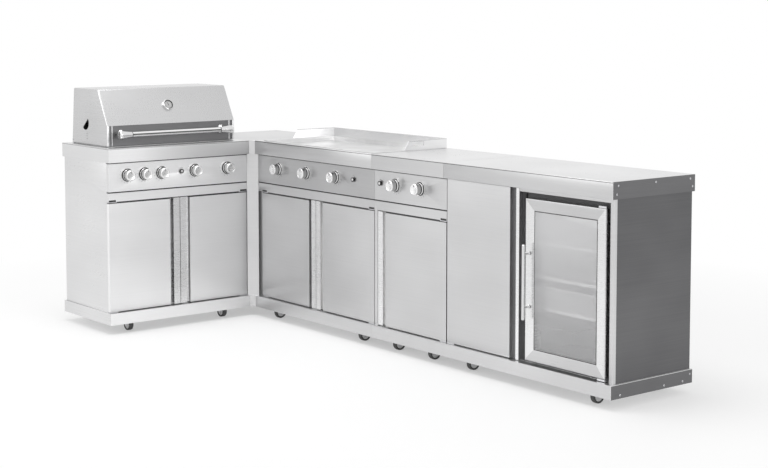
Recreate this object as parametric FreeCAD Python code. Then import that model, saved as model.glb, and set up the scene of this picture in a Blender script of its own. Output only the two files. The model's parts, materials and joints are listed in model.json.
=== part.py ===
import FreeCAD
import Part
import os

# An L-shaped outdoor kitchen of four steel modules on castors, in millimetres, +Z up.
# Each module is drawn in its own frame: x along its front from its left end, y back from its front, z up.
# The right wing faces -Y, the left wing faces +X, and the origin is the middle of the footprint on the floor.

# Overall sizes
GRILL_WIDTH = 800.0
GRIDDLE_WIDTH = 960.0
BURNER_WIDTH = 510.0
FRIDGE_WIDTH = 1000.0
DEPTH = 480.0
CORNER_OFFSET = 22.0
WORKTOP_HEIGHT = 900.0
FASCIA_HEIGHT = 69.0
PLINTH_BOTTOM = 45.0
PLINTH_HEIGHT = 57.0

# Sheet metal and clearances
SHEET = 1.5
PLATE = 2.0
SEAM = 0.2
END_INSET = 8.0
END_PLATE = 2.0
FRONT_SETBACK = 20.0
FOLD = 25.0
RUNNING = 0.08
SEAT = 0.3

# Doors
DOOR_THICKNESS = 20.0
DOOR_BACK_GAP = 2.0
DOOR_SIDE_GAP = 3.0
DOOR_MIDDLE_GAP = 3.0
DOOR_END_GAP = 4.0
PULL_CHANNEL = 20.0
PULL_LIP = 35.0
STORAGE_CHANNEL = 37.0
STORAGE_LIP = 18.0
PIVOT_INSET = 6.0
PIVOT_RADIUS = 3.0
PIVOT_LENGTH = 9.0
HINGE_LENGTH = 45.0
GRIDDLE_STILE = 38.0
DRAIN_RADIUS = 2.5

# Rail and control panels
RAIL_HEIGHT = 42.0
PANEL_HEIGHT = 136.0
PANEL_GAP = 6.0
STILE = 20.0

# Knobs, bezels and buttons
KNOB_RISE = 78.0
KNOB_RADIUS = 25.0
KNOB_SKIRT_RADIUS = 28.0
KNOB_SKIRT_DEPTH = 8.0
KNOB_PROUD = 43.0
BEZEL_RADIUS = 34.0
BEZEL_DEPTH = 6.0
BEZEL_BORE_RADIUS = 8.0
STEM_RADIUS = 4.0
STEM_DEPTH = 16.0
BUTTON_RADIUS = 11.0
BUTTON_PROUD = 9.0
BUTTON_TRAVEL = 4.0
BUTTON_STEM_RADIUS = 5.0
BUTTON_STEM = 14.0
GRILL_KNOBS = (108.0, 203.0, 298.0, 488.0, 678.0)
GRIDDLE_KNOBS = (186.0, 424.0, 662.0)
BURNER_KNOBS = (157.0, 331.0)
GRILL_BUTTON = 412.0
GRIDDLE_BUTTON = 800.0
BURNER_BUTTON = 43.0

# Gas parts
MANIFOLD_Y = 66.0
MANIFOLD_RADIUS = 9.0
VALVE_RADIUS = 12.0
INLET_RADIUS = 8.0
INLET_LENGTH = 7.0
SUPPLY_RADIUS = 7.0
BURNER_TUBE_RADIUS = 15.0

# Grill: insets from the module's sides, front and back, and distances below and above the worktop
FIREBOX_SIDE = 50.0
FIREBOX_FRONT = 92.0
FIREBOX_BACK_INSET = 50.0
FIREBOX_DROP = 194.0
FIREBOX_FLANGE = 6.0
SHIELD_DROP = 100.0
GRATE_DROP = 36.0
LEDGE = 8.0
GRATE_COUNT = 4
GRATE_BAR_RADIUS = 3.0
GRATE_BARS = 8
HOOD_SIDE = 37.0
HOOD_FRONT = 78.0
HOOD_BACK_INSET = 37.0
HOOD_GAP = 4.0
HOOD_BAND = 103.0
HOOD_RISE = 276.0
HOOD_TOP_SETBACK = 90.0
HOOD_TOP_BACK_INSET = 23.0
HOOD_PIVOT_INSET = 8.0
HOOD_PIVOT_RISE = 18.0
HOOD_PIVOT_RADIUS = 4.0
HOOD_EAR = 5.0
HOOD_EAR_SHEET = 4.0
HOOD_HANDLE_RISE = 60.0
HOOD_HANDLE_PROUD = 40.0
HOOD_HANDLE_RADIUS = 13.0
HOOD_HANDLE_LENGTH = 640.0
HOOD_MOUNT_RADIUS = 22.0
HOOD_MOUNT_TIP = 10.0
HOOD_MOUNT_LENGTH = 34.0
GAUGE_RADIUS = 28.0
GAUGE_DEPTH = 12.0
GAUGE_STEM_RADIUS = 5.0
VENT_RADIUS = 34.0
VENT_SETBACK = 222.0
VENT_RISE = 107.0
VENT_TILT = 41.0

# Griddle: insets from the module's sides and back, and distances below and above the worktop
GRIDDLE_LEFT = 52.0
GRIDDLE_RIGHT_INSET = 20.0
GRIDDLE_FRONT = 34.0
GRIDDLE_BACK_INSET = 18.0
GRIDDLE_RIM = 8.0
GRIDDLE_DROP = 18.0
GRIDDLE_PLATE = 6.0
GUARD_FRONT = 205.0
GUARD_RISE = 48.0
GUARD_SLOT_START = 38.0
GUARD_SLOT_LENGTH = 83.0
GUARD_SLOT_RISE = 22.0
GUARD_SLOT_HEIGHT = 20.0
GUARD_SLOPE = 30.0
CROSS_BAR = 18.0

# Side burner
WELL_RIM = 11.5
WELL_DEPTH = 50.0
LID_GAP = 1.0
LID_SKIRT = 14.0
LID_PIVOT_INSET = 8.5
LID_PIVOT_DROP = 4.0
LID_PIVOT_RADIUS = 2.0
BURNER_HEAD_RADIUS = 45.0
BURNER_HEAD_HEIGHT = 18.0
TRIVET_RADIUS = 70.0
TRIVET_HEIGHT = 30.0
TRIVET_BAR = 5.0

# Fridge module
STORAGE_RIGHT = 457.0
POST_WIDTH = 22.0
POST_DEPTH = 14.0
BAY_RAIL_HEIGHT = 16.0
FRIDGE_GAP = 4.0
FRIDGE_FRONT = 66.0
FRIDGE_BACK_INSET = 18.0
FRIDGE_TOP_GAP = 23.0
FRIDGE_WALL = 35.0
FRIDGE_DOOR_LEFT_INSET = 35.0
FRIDGE_DOOR_RIGHT_INSET = 24.0
FRIDGE_DOOR_BOTTOM_GAP = 11.0
FRIDGE_DOOR_TOP_GAP = 41.0
FRIDGE_DOOR_BACK_GAP = 1.2
FRIDGE_FRAME = 50.0
GLASS_GROOVE = 8.0
GLASS_FRONT = 6.0
GLASS_THICKNESS = 18.0
FRIDGE_PIVOT_X = 8.0
FRIDGE_PIVOT_Y = 10.0
FRIDGE_HINGE_LENGTH = 33.0
BAR_RADIUS = 7.0
BAR_PROUD = 32.0
BAR_MOUNT_RADIUS = 5.6
BAR_START = 175.0
BAR_LENGTH = 314.0
BAR_MOUNTS = (53.0, 275.0)
SHELF_DROPS = (211.0, 353.0, 486.0)
SHELF_WIRE = 2.0
SHELF_WIRES = 15
SHELF_RIB = 6.0
COMPRESSOR_RADIUS = 58.0
COMPRESSOR_HEIGHT = 150.0
GLAND_RADIUS = 10.0
GLAND_WALL = 6.0
GLAND_LENGTH = 9.5

# Castors
CASTOR_INSET = 130.0
CASTOR_SETBACK = 62.0
WHEEL_RADIUS = 30.0
WHEEL_WIDTH = 24.0
AXLE_RADIUS = 4.0
FORK_SHEET = 3.0

# Screws of the right end: distance back from the front, and below the worktop or above the plinth's bottom
SCREW_RADIUS = 4.5
SCREW_HEAD = 1.6
SCREW_SHANK = 2.0
SCREW_LENGTH = 10.0
FASCIA_SCREW_DROPS = ((31.0, 16.0), (23.0, 50.0), (246.0, 16.0), (452.0, 16.0), (466.0, 48.0))
PLINTH_SCREW_RISES = ((53.0, 13.0), (310.0, 13.0), (422.0, 13.0), (466.0, 37.0))

PLINTH_TOP = PLINTH_BOTTOM + PLINTH_HEIGHT
BODY_TOP = WORKTOP_HEIGHT - FASCIA_HEIGHT
BODY_FRONT = FRONT_SETBACK + DOOR_THICKNESS + DOOR_BACK_GAP
BODY_BACK = DEPTH - END_INSET
PANEL_TOP = BODY_TOP - PANEL_GAP
PANEL_BOTTOM = PANEL_TOP - PANEL_HEIGHT
RAIL_TOP = PANEL_BOTTOM - PANEL_GAP
RAIL_BOTTOM = RAIL_TOP - RAIL_HEIGHT
DOOR_TOP = RAIL_BOTTOM - DOOR_END_GAP
DOOR_BOTTOM = PLINTH_TOP + DOOR_END_GAP
KNOB_HEIGHT = PANEL_BOTTOM + KNOB_RISE

FIREBOX_BACK = DEPTH - FIREBOX_BACK_INSET
FIREBOX_BOTTOM = WORKTOP_HEIGHT - FIREBOX_DROP
SHIELD_LEDGE = WORKTOP_HEIGHT - SHIELD_DROP
GRATE_LEDGE = WORKTOP_HEIGHT - GRATE_DROP
HOOD_BACK = DEPTH - HOOD_BACK_INSET
HOOD_BOTTOM = WORKTOP_HEIGHT + HOOD_GAP
HOOD_BAND_TOP = WORKTOP_HEIGHT + HOOD_BAND
HOOD_TOP = WORKTOP_HEIGHT + HOOD_RISE
HOOD_TOP_FRONT = HOOD_FRONT + HOOD_TOP_SETBACK
HOOD_TOP_BACK = HOOD_BACK - HOOD_TOP_BACK_INSET
HOOD_PIVOT_Y = HOOD_BACK - HOOD_PIVOT_INSET
HOOD_PIVOT_Z = WORKTOP_HEIGHT + HOOD_PIVOT_RISE
HOOD_HANDLE_Z = WORKTOP_HEIGHT + HOOD_HANDLE_RISE
VENT_Y = HOOD_FRONT + VENT_SETBACK
VENT_Z = WORKTOP_HEIGHT + VENT_RISE

GRIDDLE_RIGHT = GRIDDLE_WIDTH - GRIDDLE_RIGHT_INSET
GRIDDLE_BACK = DEPTH - GRIDDLE_BACK_INSET
GRIDDLE_SURFACE = WORKTOP_HEIGHT - GRIDDLE_DROP
GUARD_TOP = WORKTOP_HEIGHT + GUARD_RISE
GUARD_SLOT_FRONT = GUARD_FRONT + GUARD_SLOT_START
GUARD_SLOT_BACK = GUARD_SLOT_FRONT + GUARD_SLOT_LENGTH
GUARD_SLOT_BOTTOM = WORKTOP_HEIGHT + GUARD_SLOT_RISE
GUARD_SLOT_TOP = GUARD_SLOT_BOTTOM + GUARD_SLOT_HEIGHT

WELL_FLOOR = WORKTOP_HEIGHT - WELL_DEPTH
TRIVET_TOP = WELL_FLOOR + TRIVET_HEIGHT

BAY_RIGHT = FRIDGE_WIDTH - END_INSET - POST_WIDTH
BAY_MIDDLE = (STORAGE_RIGHT + BAY_RIGHT) / 2
BAY_RAIL_BOTTOM = BODY_TOP - BAY_RAIL_HEIGHT
FRIDGE_BACK = DEPTH - FRIDGE_BACK_INSET
FRIDGE_TOP = BODY_TOP - FRIDGE_TOP_GAP
FRIDGE_DOOR_LEFT = STORAGE_RIGHT + FRIDGE_DOOR_LEFT_INSET
FRIDGE_DOOR_RIGHT = BAY_RIGHT - FRIDGE_DOOR_RIGHT_INSET
FRIDGE_DOOR_BOTTOM = PLINTH_TOP + FRIDGE_DOOR_BOTTOM_GAP
FRIDGE_DOOR_TOP = BODY_TOP - FRIDGE_DOOR_TOP_GAP
MACHINE_FRONT = FRIDGE_BACK - 2 * COMPRESSOR_RADIUS - 2 * FRIDGE_GAP
BAR_BOTTOM = FRIDGE_DOOR_BOTTOM + BAR_START
BAR_TOP = BAR_BOTTOM + BAR_LENGTH
SHELF_HEIGHTS = [FRIDGE_TOP - drop for drop in SHELF_DROPS]

FASCIA_SCREWS = [(back, WORKTOP_HEIGHT - drop) for back, drop in FASCIA_SCREW_DROPS]
PLINTH_SCREWS = [(back, PLINTH_BOTTOM + rise) for back, rise in PLINTH_SCREW_RISES]

BURNER_START = GRIDDLE_WIDTH
FRIDGE_START = BURNER_START + BURNER_WIDTH
RIGHT_END = FRIDGE_START + FRIDGE_WIDTH
LEFT_BACK = -CORNER_OFFSET - DEPTH
LEFT_END = -CORNER_OFFSET - GRILL_WIDTH
CENTRE_X = (RIGHT_END + LEFT_BACK) / 2
CENTRE_Y = (DEPTH + LEFT_END) / 2

X_AXIS = FreeCAD.Vector(1, 0, 0)
Y_AXIS = FreeCAD.Vector(0, 1, 0)
Z_AXIS = FreeCAD.Vector(0, 0, 1)


def box(x0, x1, y0, y1, z0, z1):
    return Part.makeBox(x1 - x0, y1 - y0, z1 - z0, FreeCAD.Vector(x0, y0, z0))


def rod_x(radius, x0, x1, y, z):
    return Part.makeCylinder(radius, x1 - x0, FreeCAD.Vector(x0, y, z), X_AXIS)


def rod_y(radius, x, y0, y1, z):
    return Part.makeCylinder(radius, y1 - y0, FreeCAD.Vector(x, y0, z), Y_AXIS)


def rod_z(radius, x, y, z0, z1):
    return Part.makeCylinder(radius, z1 - z0, FreeCAD.Vector(x, y, z0), Z_AXIS)


def join(shapes):
    whole = shapes[0]
    if len(shapes) > 1:
        whole = whole.fuse(list(shapes[1:]))
    return whole.removeSplitter()


def less(shape, tools):
    return shape.cut(list(tools)).removeSplitter()


def prism_x(points, x0, x1):
    """A solid with the outline points (y, z), from x0 to x1."""
    corners = [FreeCAD.Vector(x0, y, z) for y, z in points]
    face = Part.Face(Part.makePolygon(corners + corners[:1]))
    return face.extrude(FreeCAD.Vector(x1 - x0, 0, 0))


def prism_z(points, z0, z1):
    """A solid with the outline points (x, y), from z0 to z1."""
    corners = [FreeCAD.Vector(x, y, z0) for x, y in points]
    face = Part.Face(Part.makePolygon(corners + corners[:1]))
    return face.extrude(FreeCAD.Vector(0, 0, z1 - z0))


def on_right_wing(start):
    return FreeCAD.Placement(FreeCAD.Vector(start - CENTRE_X, -CENTRE_Y, 0), FreeCAD.Rotation())


def on_left_wing():
    turn = FreeCAD.Rotation(Z_AXIS, 90)
    return FreeCAD.Placement(FreeCAD.Vector(-CORNER_OFFSET - CENTRE_X, LEFT_END - CENTRE_Y, 0), turn)


class Module:
    """One module's width, place and the gaps at its ends."""

    def __init__(self, width, place, left_exposed, right_exposed):
        self.width = width
        self.place = place
        self.left = 0.0 if left_exposed else SEAM
        self.right = width - (END_PLATE if right_exposed else SEAM)
        self.body_left = END_INSET if left_exposed else SEAM
        self.body_right = width - (END_INSET + END_PLATE if right_exposed else SEAM)


GRILL = Module(GRILL_WIDTH, on_left_wing(), True, False)
GRIDDLE = Module(GRIDDLE_WIDTH, on_right_wing(0), False, False)
BURNER = Module(BURNER_WIDTH, on_right_wing(BURNER_START), False, False)
FRIDGE = Module(FRIDGE_WIDTH, on_right_wing(FRIDGE_START), False, True)

nodes = {}


def add(node, module, solids):
    """Puts solids drawn in a module's frame into a node."""
    for solid in solids:
        placed = solid.copy()
        placed.Placement = module.place.multiply(placed.Placement)
        nodes.setdefault(node, []).append(placed)


# Worktops, plinths and carcasses


def folded_top(module):
    outer = box(module.left, module.right, 0, DEPTH, BODY_TOP, WORKTOP_HEIGHT)
    inner = box(module.left + PLATE, module.right - PLATE, PLATE, DEPTH - PLATE,
                BODY_TOP + PLATE, WORKTOP_HEIGHT - PLATE)
    mouth = box(module.body_left + FOLD, module.body_right - FOLD, BODY_FRONT + FOLD, BODY_BACK - FOLD,
                BODY_TOP, BODY_TOP + PLATE)
    return less(outer, [inner, mouth])


def plinth(module):
    outer = box(module.left, module.right, 0, DEPTH, PLINTH_BOTTOM, PLINTH_TOP)
    inner = box(module.left + PLATE, module.right - PLATE, PLATE, DEPTH - PLATE,
                PLINTH_BOTTOM, PLINTH_TOP - PLATE)
    return less(outer, [inner])


def channel_rail(x0, x1, z0, z1):
    """A rail in the plane of the doors, open at its back."""
    outer = box(x0, x1, FRONT_SETBACK, BODY_FRONT, z0, z1)
    inner = box(x0 + SHEET, x1 - SHEET, FRONT_SETBACK + SHEET, BODY_FRONT, z0 + SHEET, z1 - SHEET)
    return less(outer, [inner])


def carcass(module, extras=(), holes=()):
    left, right = module.body_left, module.body_right
    outer = box(left, right, BODY_FRONT, BODY_BACK, PLINTH_TOP, BODY_TOP)
    inner = box(left + SHEET, right - SHEET, BODY_FRONT + SHEET, BODY_BACK - SHEET,
                PLINTH_TOP + SHEET, BODY_TOP)
    mouth = box(left + STILE, right - STILE, BODY_FRONT, BODY_FRONT + SHEET,
                PLINTH_TOP + SHEET, BODY_TOP)
    shell = less(outer, [inner, mouth])
    whole = join([shell] + list(extras))
    return less(whole, holes) if holes else whole


def cross_brace(module, z0, z1):
    """A flat strip behind the front rail, from side to side."""
    return box(module.body_left, module.body_right, BODY_FRONT, BODY_FRONT + SHEET, z0, z1)


def tray_runners(module, x0, x1, top):
    """Two angles from the front strip to the back, with their lips towards each other."""
    runners = []
    for wall, lip in ((x0 - SHEET, 1), (x1 + SHEET, -1)):
        upright = sorted((wall, wall + lip * SHEET))
        shelf = sorted((wall, wall + lip * STILE))
        runners.append(box(*upright, BODY_FRONT, BODY_BACK, top - SHEET, top + STILE))
        runners.append(box(*shelf, BODY_FRONT, BODY_BACK, top - SHEET, top))
    return runners


def control_panel(module, knobs, button):
    """A folded panel with a hole for each stem."""
    x0, x1 = module.body_left + SEAM, module.body_right - SEAM
    outer = box(x0, x1, FRONT_SETBACK, BODY_FRONT, PANEL_BOTTOM, PANEL_TOP)
    inner = box(x0 + SHEET, x1 - SHEET, FRONT_SETBACK + SHEET, BODY_FRONT,
                PANEL_BOTTOM + SHEET, PANEL_TOP - SHEET)
    holes = [rod_y(BEZEL_BORE_RADIUS, x, FRONT_SETBACK, BODY_FRONT, KNOB_HEIGHT) for x in knobs]
    holes.append(rod_y(BUTTON_STEM_RADIUS + SEAT, button, FRONT_SETBACK, BODY_FRONT, KNOB_HEIGHT))
    return less(outer, [inner] + holes)


# Doors


def pivot_point(left, right, hinge_left):
    x = left + PIVOT_INSET if hinge_left else right - PIVOT_INSET
    return x, FRONT_SETBACK + PIVOT_INSET


def door(left, right, bottom, top, hinge_left, channel, lip):
    """A hollow steel door with a full-height pull folded into its free edge."""
    front, back = FRONT_SETBACK, FRONT_SETBACK + DOOR_THICKNESS
    pull = channel + lip
    panel = (left, right - pull) if hinge_left else (left + pull, right)
    body = box(*panel, front, back, bottom, top)
    cavity = box(panel[0] + SHEET, panel[1] - SHEET, front + SHEET, back - SHEET, bottom + SHEET, top - SHEET)
    drains = [rod_z(DRAIN_RADIUS, x, back - PIVOT_INSET, bottom, bottom + SHEET)
              for x in (panel[0] + FOLD, panel[1] - FOLD)]
    edge = right if hinge_left else left
    side = -1 if hinge_left else 1
    inner = edge + side * pull
    web = box(*sorted((edge, inner)), back - SHEET, back, bottom, top)
    face = box(*sorted((edge, edge + side * lip)), front, front + SHEET, bottom, top)
    rim = box(*sorted((edge, edge + side * SHEET)), front, back, bottom, top)
    x, y = pivot_point(left, right, hinge_left)
    holes = [rod_z(PIVOT_RADIUS + RUNNING, x, y, bottom, bottom + SHEET),
             rod_z(PIVOT_RADIUS + RUNNING, x, y, top - SHEET, top)]
    return less(join([body, web, face, rim]), [cavity] + drains + holes)


def door_pivots(left, right, bottom, top, hinge_left):
    """A bracket above and one below a door, each with the pin that the door turns on."""
    x, y = pivot_point(left, right, hinge_left)
    span = (left, left + HINGE_LENGTH) if hinge_left else (right - HINGE_LENGTH, right)
    brackets = []
    for level, way in ((bottom - SEAT, -1), (top + SEAT, 1)):
        thick = sorted((level, level + way * (DOOR_END_GAP - 2 * SEAT)))
        pin = sorted((level, level - way * PIVOT_LENGTH))
        plate = box(*span, FRONT_SETBACK + SHEET, BODY_FRONT, *thick)
        brackets.append(join([plate, rod_z(PIVOT_RADIUS, x, y, *pin)]))
    return brackets


def door_edges():
    """Each door's module, left and right edge, top, hinge side and pull."""
    left = GRILL.body_left
    right = GRILL.body_right - DOOR_SIDE_GAP
    middle = (left + right) / 2
    half = DOOR_MIDDLE_GAP / 2
    pull = (PULL_CHANNEL, PULL_LIP)
    edges = {
        "grill_door_left": (GRILL, left, middle - half, DOOR_TOP, True, pull),
        "grill_door_right": (GRILL, middle + half, right, DOOR_TOP, False, pull),
    }
    left, right = GRIDDLE_STILE, GRIDDLE.body_right - DOOR_SIDE_GAP
    middle = (left + right) / 2
    edges["griddle_door_left"] = (GRIDDLE, left, middle - half, DOOR_TOP, True, pull)
    edges["griddle_door_right"] = (GRIDDLE, middle + half, right, DOOR_TOP, False, pull)
    edges["burner_door"] = (BURNER, FOLD, BURNER.body_right - DOOR_SIDE_GAP, DOOR_TOP, False, pull)
    edges["storage_door"] = (FRIDGE, FRIDGE.body_left + DOOR_SIDE_GAP, STORAGE_RIGHT, BODY_TOP - DOOR_END_GAP,
                             True, (STORAGE_CHANNEL, STORAGE_LIP))
    return edges


def make_doors():
    for node, (module, left, right, top, hinge_left, pull) in door_edges().items():
        add(node, module, [door(left, right, DOOR_BOTTOM, top, hinge_left, *pull)])
        add("hinge_brackets", module, door_pivots(left, right, DOOR_BOTTOM, top, hinge_left))


# Knobs, buttons and gas parts


def bezel(x):
    ring = rod_y(BEZEL_RADIUS, x, FRONT_SETBACK - BEZEL_DEPTH, FRONT_SETBACK, KNOB_HEIGHT)
    return less(ring, [rod_y(BEZEL_BORE_RADIUS, x, FRONT_SETBACK - BEZEL_DEPTH, FRONT_SETBACK, KNOB_HEIGHT)])


def knob(x):
    back = FRONT_SETBACK - BEZEL_DEPTH - SEAT
    front = FRONT_SETBACK - KNOB_PROUD
    skirt = rod_y(KNOB_SKIRT_RADIUS, x, back - KNOB_SKIRT_DEPTH, back, KNOB_HEIGHT)
    body = rod_y(KNOB_RADIUS, x, front, back, KNOB_HEIGHT)
    bore = rod_y(STEM_RADIUS + RUNNING, x, back - STEM_DEPTH - SEAT, back, KNOB_HEIGHT)
    return less(join([skirt, body]), [bore])


def button(x):
    front = FRONT_SETBACK - BUTTON_PROUD
    cap = rod_y(BUTTON_RADIUS, x, front, FRONT_SETBACK - BUTTON_TRAVEL - SEAT, KNOB_HEIGHT)
    stem = rod_y(BUTTON_STEM_RADIUS, x, front, FRONT_SETBACK + BUTTON_STEM, KNOB_HEIGHT)
    return join([cap, stem])


def manifold(module, knobs, outlet_y, tail=()):
    """A gas pipe across the module, with a valve, stem and nozzle for each knob."""
    run = rod_x(MANIFOLD_RADIUS, module.body_left + SHEET, module.body_right - SHEET, MANIFOLD_Y, KNOB_HEIGHT)
    stem_end = FRONT_SETBACK - BEZEL_DEPTH - SEAT - STEM_DEPTH
    parts = [run]
    for x in knobs:
        parts.append(rod_y(STEM_RADIUS, x, stem_end, MANIFOLD_Y, KNOB_HEIGHT))
        parts.append(rod_y(VALVE_RADIUS, x, BODY_FRONT + SHEET, MANIFOLD_Y + VALVE_RADIUS, KNOB_HEIGHT))
        parts.append(rod_y(STEM_RADIUS, x, MANIFOLD_Y, outlet_y, KNOB_HEIGHT))
    return join(parts + list(tail))


def tube_burner(x, front, back):
    tube = rod_y(BURNER_TUBE_RADIUS, x, front, back, KNOB_HEIGHT)
    return less(tube, [rod_y(BURNER_TUBE_RADIUS - SHEET, x, front, back - SHEET, KNOB_HEIGHT)])


def make_controls():
    panels = (("grill", GRILL, GRILL_KNOBS, GRILL_BUTTON), ("griddle", GRIDDLE, GRIDDLE_KNOBS, GRIDDLE_BUTTON),
              ("burner", BURNER, BURNER_KNOBS, BURNER_BUTTON))
    for name, module, knobs, button_x in panels:
        add(name + "_control_panel", module, [control_panel(module, knobs, button_x)])
        add(name + "_igniter_button", module, [button(button_x)])
        add("knob_bezels", module, [bezel(x) for x in knobs])
        for number, x in enumerate(knobs, 1):
            add(name + "_knob_" + str(number), module, [knob(x)])


# Grill


def firebox():
    x0, x1 = FIREBOX_SIDE, GRILL_WIDTH - FIREBOX_SIDE
    y0, y1 = FIREBOX_FRONT, FIREBOX_BACK
    outer = box(x0, x1, y0, y1, FIREBOX_BOTTOM, WORKTOP_HEIGHT)
    inner = box(x0 + SHEET, x1 - SHEET, y0 + SHEET, y1 - SHEET, FIREBOX_BOTTOM + SHEET, WORKTOP_HEIGHT)
    flange = less(box(x0 - FIREBOX_FLANGE, x1 + FIREBOX_FLANGE, y0 - FIREBOX_FLANGE, y1 + FIREBOX_FLANGE / 2,
                      WORKTOP_HEIGHT, WORKTOP_HEIGHT + SHEET),
                  [box(x0 + SHEET, x1 - SHEET, y0 + SHEET, y1 - SHEET, WORKTOP_HEIGHT, WORKTOP_HEIGHT + SHEET)])
    ledges = []
    for level in (SHIELD_LEDGE, GRATE_LEDGE):
        ledges.append(box(x0, x1, y0 + SHEET, y0 + SHEET + LEDGE, level - SHEET, level))
        ledges.append(box(x0, x1, y1 - SHEET - LEDGE, y1 - SHEET, level - SHEET, level))
    slot = box(GRILL_WIDTH / 4, GRILL_WIDTH * 3 / 4, y0 + 4 * FOLD, y1 - 4 * FOLD,
               FIREBOX_BOTTOM, FIREBOX_BOTTOM + SHEET)
    mouths = [rod_y(BURNER_TUBE_RADIUS, x, y0, y0 + SHEET, KNOB_HEIGHT) for x in GRILL_KNOBS]
    return less(join([less(outer, [inner]), flange] + ledges), [slot] + mouths)


def heat_shield(x):
    """A bent strip over one burner that rests on the lower ledges."""
    half, rise = 2 * BURNER_TUBE_RADIUS, BURNER_TUBE_RADIUS
    y0, y1 = FIREBOX_FRONT + SHEET + SEAT, FIREBOX_BACK - SHEET - SEAT
    outline = [(x - half, SHIELD_LEDGE), (x - half + PLATE, SHIELD_LEDGE), (x, SHIELD_LEDGE + rise - PLATE),
               (x + half - PLATE, SHIELD_LEDGE), (x + half, SHIELD_LEDGE), (x, SHIELD_LEDGE + rise)]
    corners = [FreeCAD.Vector(px, y0, pz) for px, pz in outline]
    return Part.Face(Part.makePolygon(corners + corners[:1])).extrude(FreeCAD.Vector(0, y1 - y0, 0))


def grate(number):
    """One of the cooking grates side by side on the upper ledges."""
    room = GRILL_WIDTH - 2 * (FIREBOX_SIDE + SHEET) - SEAT
    pitch = room / GRATE_COUNT
    x0 = FIREBOX_SIDE + SHEET + SEAT + number * pitch
    x1 = x0 + pitch - SEAT
    y0, y1 = FIREBOX_FRONT + SHEET + SEAT, FIREBOX_BACK - SHEET - SEAT
    r = GRATE_BAR_RADIUS
    step = (x1 - x0 - 2 * r) / (GRATE_BARS - 1)
    bars = [rod_y(r, x0 + r + i * step, y0, y1, GRATE_LEDGE + 2 * r) for i in range(GRATE_BARS)]
    ties = [box(x0, x1, y, y + 2 * r, GRATE_LEDGE, GRATE_LEDGE + 2 * r) for y in (y0, y1 - 2 * r)]
    return join(ties + bars)


def drip_tray(x0, x1, y0, y1, bottom, height):
    outer = box(x0, x1, y0, y1, bottom, bottom + height)
    return less(outer, [box(x0 + SHEET, x1 - SHEET, y0 + SHEET, y1 - SHEET, bottom + SHEET, bottom + height)])


def hood_outline(inset):
    """The hood's side outline, drawn in by its sheet; its bottom stays open."""
    slope = (HOOD_TOP_FRONT - HOOD_FRONT) / (HOOD_TOP - HOOD_BAND_TOP)
    lean = inset * slope
    return [(HOOD_FRONT + inset, HOOD_BOTTOM), (HOOD_FRONT + inset, HOOD_BAND_TOP - lean),
            (HOOD_TOP_FRONT + inset, HOOD_TOP - inset), (HOOD_TOP_BACK - inset, HOOD_TOP - inset),
            (HOOD_BACK - inset, HOOD_BOTTOM)]


def hood():
    x0, x1 = HOOD_SIDE, GRILL_WIDTH - HOOD_SIDE
    outer = prism_x(hood_outline(0), x0, x1)
    inner = prism_x(hood_outline(PLATE), x0 + PLATE, x1 - PLATE)
    pivots = [rod_x(HOOD_PIVOT_RADIUS + RUNNING, x, x + PLATE, HOOD_PIVOT_Y, HOOD_PIVOT_Z)
              for x in (x0, x1 - PLATE)]
    disc = rod_x(VENT_RADIUS, x0, x0 + PLATE, VENT_Y, VENT_Z)
    upper = box(x0, x0 + PLATE, VENT_Y - VENT_RADIUS, VENT_Y + VENT_RADIUS, VENT_Z, VENT_Z + VENT_RADIUS)
    vent = less(disc, [upper])
    vent.rotate(FreeCAD.Vector(x0, VENT_Y, VENT_Z), X_AXIS, -VENT_TILT)
    gauge_y, gauge_z, way = gauge_seat()
    gauge_hole = Part.makeCylinder(GAUGE_STEM_RADIUS + RUNNING, 4 * PLATE,
                                   FreeCAD.Vector(GRILL_WIDTH / 2, gauge_y, gauge_z) + way * 2 * PLATE, -way)
    notch = PLATE + HOOD_EAR_SHEET + 2 * SEAT
    notches = [box(x, x + notch, HOOD_PIVOT_Y, HOOD_BACK, HOOD_BOTTOM, HOOD_PIVOT_Z + 2 * HOOD_PIVOT_RADIUS)
               for x in (x0 + PLATE, x1 - PLATE - notch)]
    return less(outer, [inner, vent, gauge_hole] + pivots + notches)


def gauge_seat():
    """The middle of the hood's slope and the direction that it faces."""
    y = (HOOD_FRONT + HOOD_TOP_FRONT) / 2
    z = (HOOD_BAND_TOP + HOOD_TOP) / 2
    way = FreeCAD.Vector(0, HOOD_BAND_TOP - HOOD_TOP, HOOD_TOP_FRONT - HOOD_FRONT)
    return y, z, way.normalize()


def hood_gauge():
    y, z, way = gauge_seat()
    seat = FreeCAD.Vector(GRILL_WIDTH / 2, y, z)
    dial = Part.makeCylinder(GAUGE_RADIUS, GAUGE_DEPTH, seat, way)
    stem = Part.makeCylinder(GAUGE_STEM_RADIUS, GAUGE_DEPTH + FOLD, seat + way * GAUGE_DEPTH, -way)
    return join([dial, stem])


def hood_handle():
    x0 = (GRILL_WIDTH - HOOD_HANDLE_LENGTH) / 2
    x1 = x0 + HOOD_HANDLE_LENGTH
    y = HOOD_FRONT - HOOD_HANDLE_PROUD
    tube = rod_x(HOOD_HANDLE_RADIUS, x0, x1, y, HOOD_HANDLE_Z)
    mounts = []
    for x in (x0 + HOOD_MOUNT_LENGTH, x1 - HOOD_MOUNT_LENGTH):
        base = FreeCAD.Vector(x, HOOD_FRONT, HOOD_HANDLE_Z)
        mounts.append(Part.makeCone(HOOD_MOUNT_RADIUS, HOOD_MOUNT_TIP, HOOD_HANDLE_PROUD, base, -Y_AXIS))
    return join([tube] + mounts)


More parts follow.
